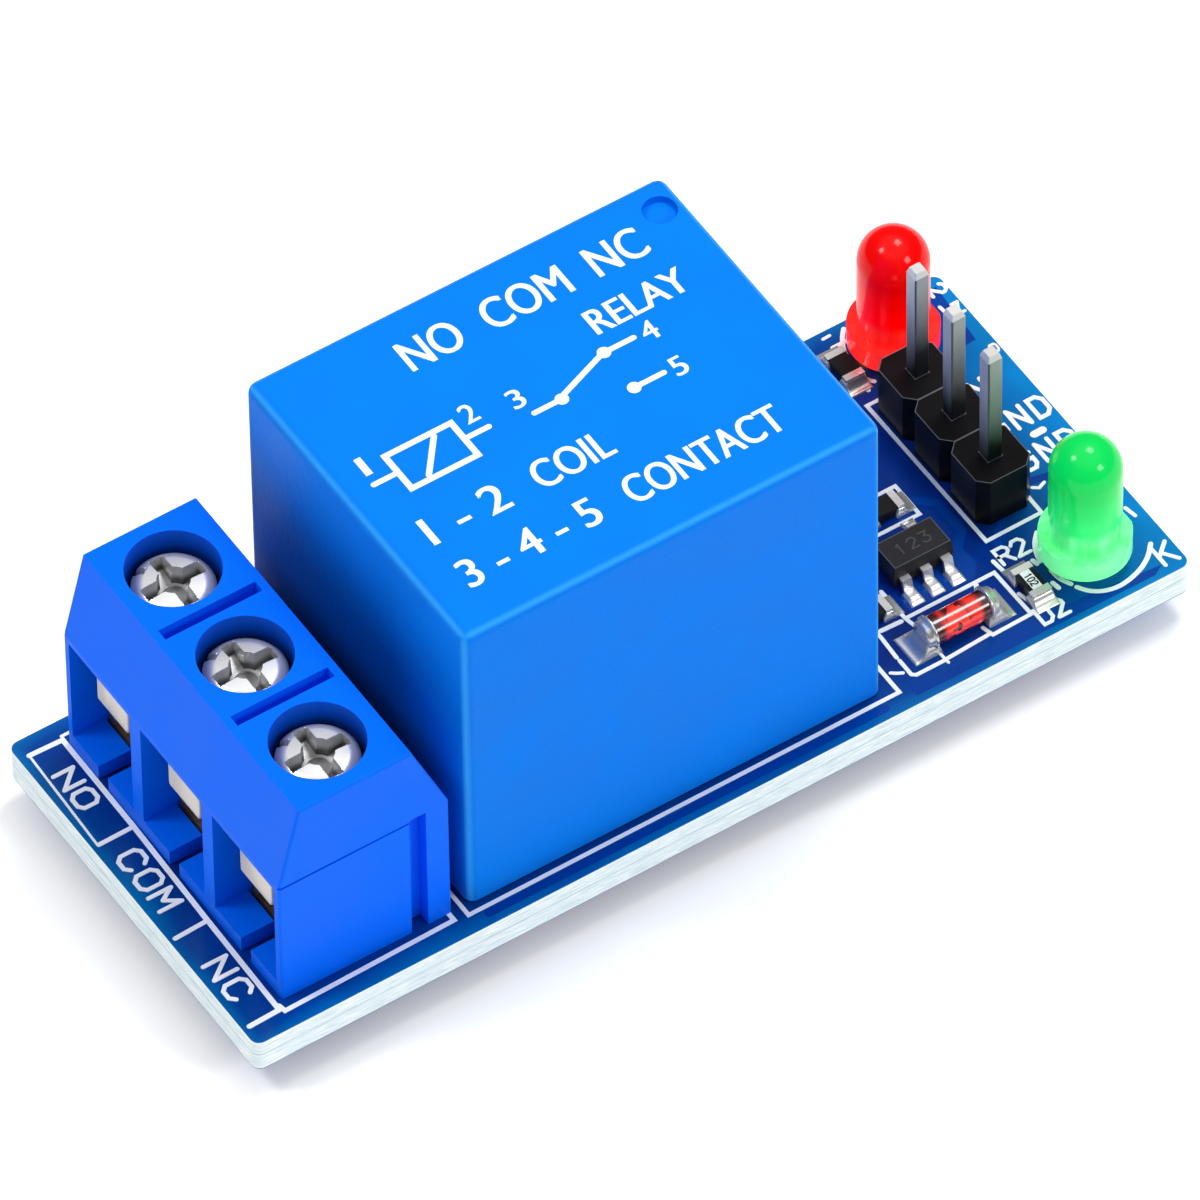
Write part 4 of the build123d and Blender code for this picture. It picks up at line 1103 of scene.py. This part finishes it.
def under_tracks():
    """Narrow ridges along the underside, from lead to lead, and round patches where they change side."""
    coil = sorted((middle for middle, _ in FEET["relay_coil_pins"]), key=lambda place: place[1])
    red, green = (
        sorted((middle for middle, _ in FEET[f"{lamp}_lamp_leads"]), key=lambda place: place[0])
        for lamp in ("red", "green")
    )
    pins = [FEET[f"header_pin_{number}"][0][0] for number in (1, 2, 3)]
    lines = [
        ([coil[1], (9.0, coil[1][1]), (11.5, 4.6), (14.6, 3.39), pins[0]], 0.6),
        ([pins[0], (15.6, 5.2), red[0]], 0.4),
        ([pins[1], (19.4, 0.85), (20.4, 2.0), (20.4, 5.4), red[1]], 0.5),
        ([pins[2], (15.4, -1.69), (14.4, -2.6), (14.4, -5.0), (15.2, -6.25), green[0]], 0.35),
        ([coil[0], (9.4, coil[0][1]), (11.6, -4.6), (12.4, -2.4)], 0.6),
        ([pins[1], (14.0, 0.85), (12.6, -0.4), (12.4, -2.0)], 0.4),
        ([green[1], (20.6, -5.2), (20.6, -1.0), (19.4, 0.4)], 0.4),
    ]
    parts = []
    for number, (points, width) in enumerate(lines):
        depth = 0.03 + 0.001 * number
        parts.append(stroke(points, width, BOARD_BOTTOM - depth, BOARD_BOTTOM + SUNK))
    for x, y in ((12.4, -2.2), (14.4, -3.6), (20.6, -1.0), (11.5, 4.6)):
        patch = [(0.45, BOARD_BOTTOM - 0.045), (0.45, BOARD_BOTTOM + SUNK)]
        parts.append(turned(patch, (x, y, 0), steps=24))
    return parts


def top_tracks():
    """Copper under the mask on the top: flat patches and tracks, a little proud of the board."""
    low, high = BOARD_TOP - SUNK, BOARD_TOP + 0.008
    patches = [
        [(11.1, -4.86), (14.1, -4.86), (14.62, -4.2), (14.5, -3.0), (13.8, -2.7), (11.1, -4.2)],
        [(9.0, -7.95), (9.0, -8.5), (20.0, -8.6), (20.5, -8.3), (14.6, -7.75), (13.1, -7.8), (12.8, -8.1),
         (10.2, -8.1)],
        rectangle((9.6, -0.6), (11.1, 0.5)),
        [(18.6, 5.0), (20.9, 5.2), (21.1, 8.3), (18.6, 8.4)],
    ]
    lines = [
        ([(14.35, -0.3), (15.0, -0.9), (15.0, -2.6), (14.3, -3.3)], 0.4),
        ([(15.85, -4.1), (15.85, -3.8), (17.0, -2.65), (17.0, -1.7)], 0.35),
        ([(20.6, -5.0), (20.6, -3.2), (19.6, -2.2), (18.3, -1.9)], 0.35),
        ([(8.9, 5.6), (12.0, 5.6), (13.2, 6.6), (15.0, 6.6)], 0.4),
        ([(-10.6, -8.35), (7.6, -8.35)], 0.35),
    ]
    parts = [prism(patch, low, high) for patch in patches]
    for number, (points, width) in enumerate(lines):
        parts.append(stroke(points, width, low, high + 0.0006 * (number + 1)))
    return parts


build("top_tracks", top_tracks(), MATERIALS["track"])
build("under_tracks", under_tracks(), MATERIALS["track"])
build("tinned_tracks", contact_tracks(), MATERIALS["solder"])


# Diode caps
def diode_caps():
    """Two turned caps along X: a rounded outer end, a flat face, and next to the glass a bead of the
    cap's full radius. Levels count from the outer end."""
    lo, hi = box_of("diode_caps")
    middle, full = (lo + hi) / 2, (hi[2] - lo[2]) / 2
    profile = [(0.3, 0.0), (0.5, 0.01), (0.57, 0.06), (0.6, 0.14), (0.61, 0.26), (full - 0.05, 0.31)]
    profile += [(full, 0.36), (full, 0.42), (full - 0.06, 0.47), (0.5, 0.478)]
    first = [(radius, lo[0] + level) for radius, level in profile]
    second = [(radius, hi[0] - level) for radius, level in reversed(profile)]
    return [turned(shape, (0, middle[1], middle[2]), axis="X", steps=56) for shape in (first, second)]


piece = build("diode_caps_dressed", diode_caps(), MATERIALS["lead"], sharp=50)
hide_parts("diode_caps")


# Plain numbers on the chip and on one resistor
def resistor_print():
    """A white patch on the green lamp's resistor, and the dark digits on it."""
    lo, hi = box_of("green_lamp_resistor_body")
    middle, top = (lo + hi) / 2, hi[2]
    half = (hi - lo) * (0.27, 0.36, 0)
    patch = prism(rectangle(middle - half, middle + half), top - 0.002, top + 0.004)
    corner = (middle[0] - 0.15, middle[1] + 0.29)
    digits = pen_text("102", corner, 0.3, (0, -1), (1, 0), 0.055, top, top + 0.006, spacing=6.2, narrow=0.72)
    return patch, digits


def chip_marks():
    """Thin dull digits on the chip."""
    lo, hi = box_of("chip_body")
    corner = (lo[0] + 0.62, (lo[1] + hi[1]) / 2 - 0.26)
    low, high = hi[2] - 0.002, hi[2] + 0.003
    return pen_text("123", corner, 0.52, (1, 0), (0, 1), 0.06, low, high, spacing=6.6, narrow=1.0)


resistor_patch, resistor_digits = resistor_print()
build("resistor_patch", [resistor_patch], MATERIALS["ink"])
build("resistor_digits", resistor_digits, MATERIALS["resistor"])
build("chip_number", chip_marks(), MATERIALS["dull_ink"])


# Camera, floor and light
def make_camera():
    """The camera at the photograph's viewing angle, found by fitting measured points."""
    azimuth, elevation, roll = (math.radians(v) for v in (AZIMUTH, ELEVATION, ROLL))
    level = math.cos(elevation)
    back = Vector((math.sin(azimuth) * level, -math.cos(azimuth) * level, math.sin(elevation)))
    right = Vector((math.cos(azimuth), math.sin(azimuth), 0))
    up = back.cross(right)
    rolled_right = math.cos(roll) * right + math.sin(roll) * up
    rolled_up = math.cos(roll) * up - math.sin(roll) * right
    data = bpy.data.cameras.new("camera")
    data.lens, data.sensor_width = LENS, SENSOR
    data.clip_start, data.clip_end = 0.01, 20.0
    camera = bpy.data.objects.new("camera", data)
    place = Vector(AIM) * MM + back * DISTANCE * MM
    turn = Matrix((rolled_right, rolled_up, back)).transposed().to_4x4()
    camera.matrix_world = Matrix.Translation(place) @ turn
    bpy.context.scene.collection.objects.link(camera)
    bpy.context.scene.camera = camera


LIT_POINT = (0, 0, 5)


def area_light(name, place, size, power):
    """A square soft white light, placed in millimetres, that points a little above the board's middle."""
    data = bpy.data.lights.new(name, "AREA")
    data.shape, data.size, data.energy = "SQUARE", size * MM, power
    light = bpy.data.objects.new(name, data)
    light.location = Vector(place) * MM
    light.rotation_mode = "QUATERNION"
    light.rotation_quaternion = (Vector(LIT_POINT) - Vector(place)).to_track_quat("-Z", "Y")
    bpy.context.scene.collection.objects.link(light)


def make_floor():
    """A wide pale floor just under the trimmed leads. Its colour to the camera is a little paler still,
    so that it meets the white background."""
    half = 3000.0 * MM
    mesh = bpy.data.meshes.new("floor")
    mesh.from_pydata([(x, y, 0.0) for x, y in rectangle((-half, -half), (half, half))], [], [(0, 1, 2, 3)])
    floor = bpy.data.objects.new("floor", mesh)
    bpy.context.scene.collection.objects.link(floor)
    made = finished("studio floor", linear(254, 254, 254), 0.9, 400.0, 0.001, tone=0.002)
    tree = made.node_tree
    camera = Field(tree, node(tree, "ShaderNodeLightPath").outputs["Is Camera Ray"])
    feed(tree, Emission_Color=mix(camera, (0, 0, 0, 1), (0.09, 0.09, 0.088, 1)))
    tree.nodes["Principled BSDF"].inputs["Emission Strength"].default_value = 1.0
    mesh.materials.append(made)


def make_world():
    """White to the camera. The light is a soft gradient, and what glossy pieces see is darker, with a
    bright patch straight above."""
    world = bpy.data.worlds.new("studio")
    bpy.context.scene.world = world
    world.use_nodes = True
    tree = world.node_tree
    background = tree.nodes["Background"]
    around = node(tree, "ShaderNodeTexCoord").outputs["Generated"]
    height = Field(tree, node(tree, "ShaderNodeSeparateXYZ", None, Vector=around).outputs[2])
    light = mix(spread(height, 0.0, 0.75), linear(140, 142, 146), (1.12, 1.12, 1.12, 1))
    low = mix(spread(height, 0.0, 0.6), linear(96, 98, 102), linear(132, 134, 138))
    seen = mix(spread(height, 0.62, 0.86), low, (1.5, 1.5, 1.5, 1))
    ray = node(tree, "ShaderNodeLightPath")
    glossy, camera = (Field(tree, ray.outputs[f"Is {kind} Ray"]) for kind in ("Glossy", "Camera"))
    tree.links.new(mix(camera, mix(glossy, light, seen), (2, 2, 2, 1)), background.inputs["Color"])
    background.inputs["Strength"].default_value = 0.66


make_camera()
make_floor()
make_world()
area_light("key", (140, 45, 370), 110, 0.55)
area_light("second", (-200, 110, 340), 90, 0.46)
area_light("front", (150, -310, 225), 100, 0.49)
bpy.context.scene.view_settings.view_transform = "Standard"
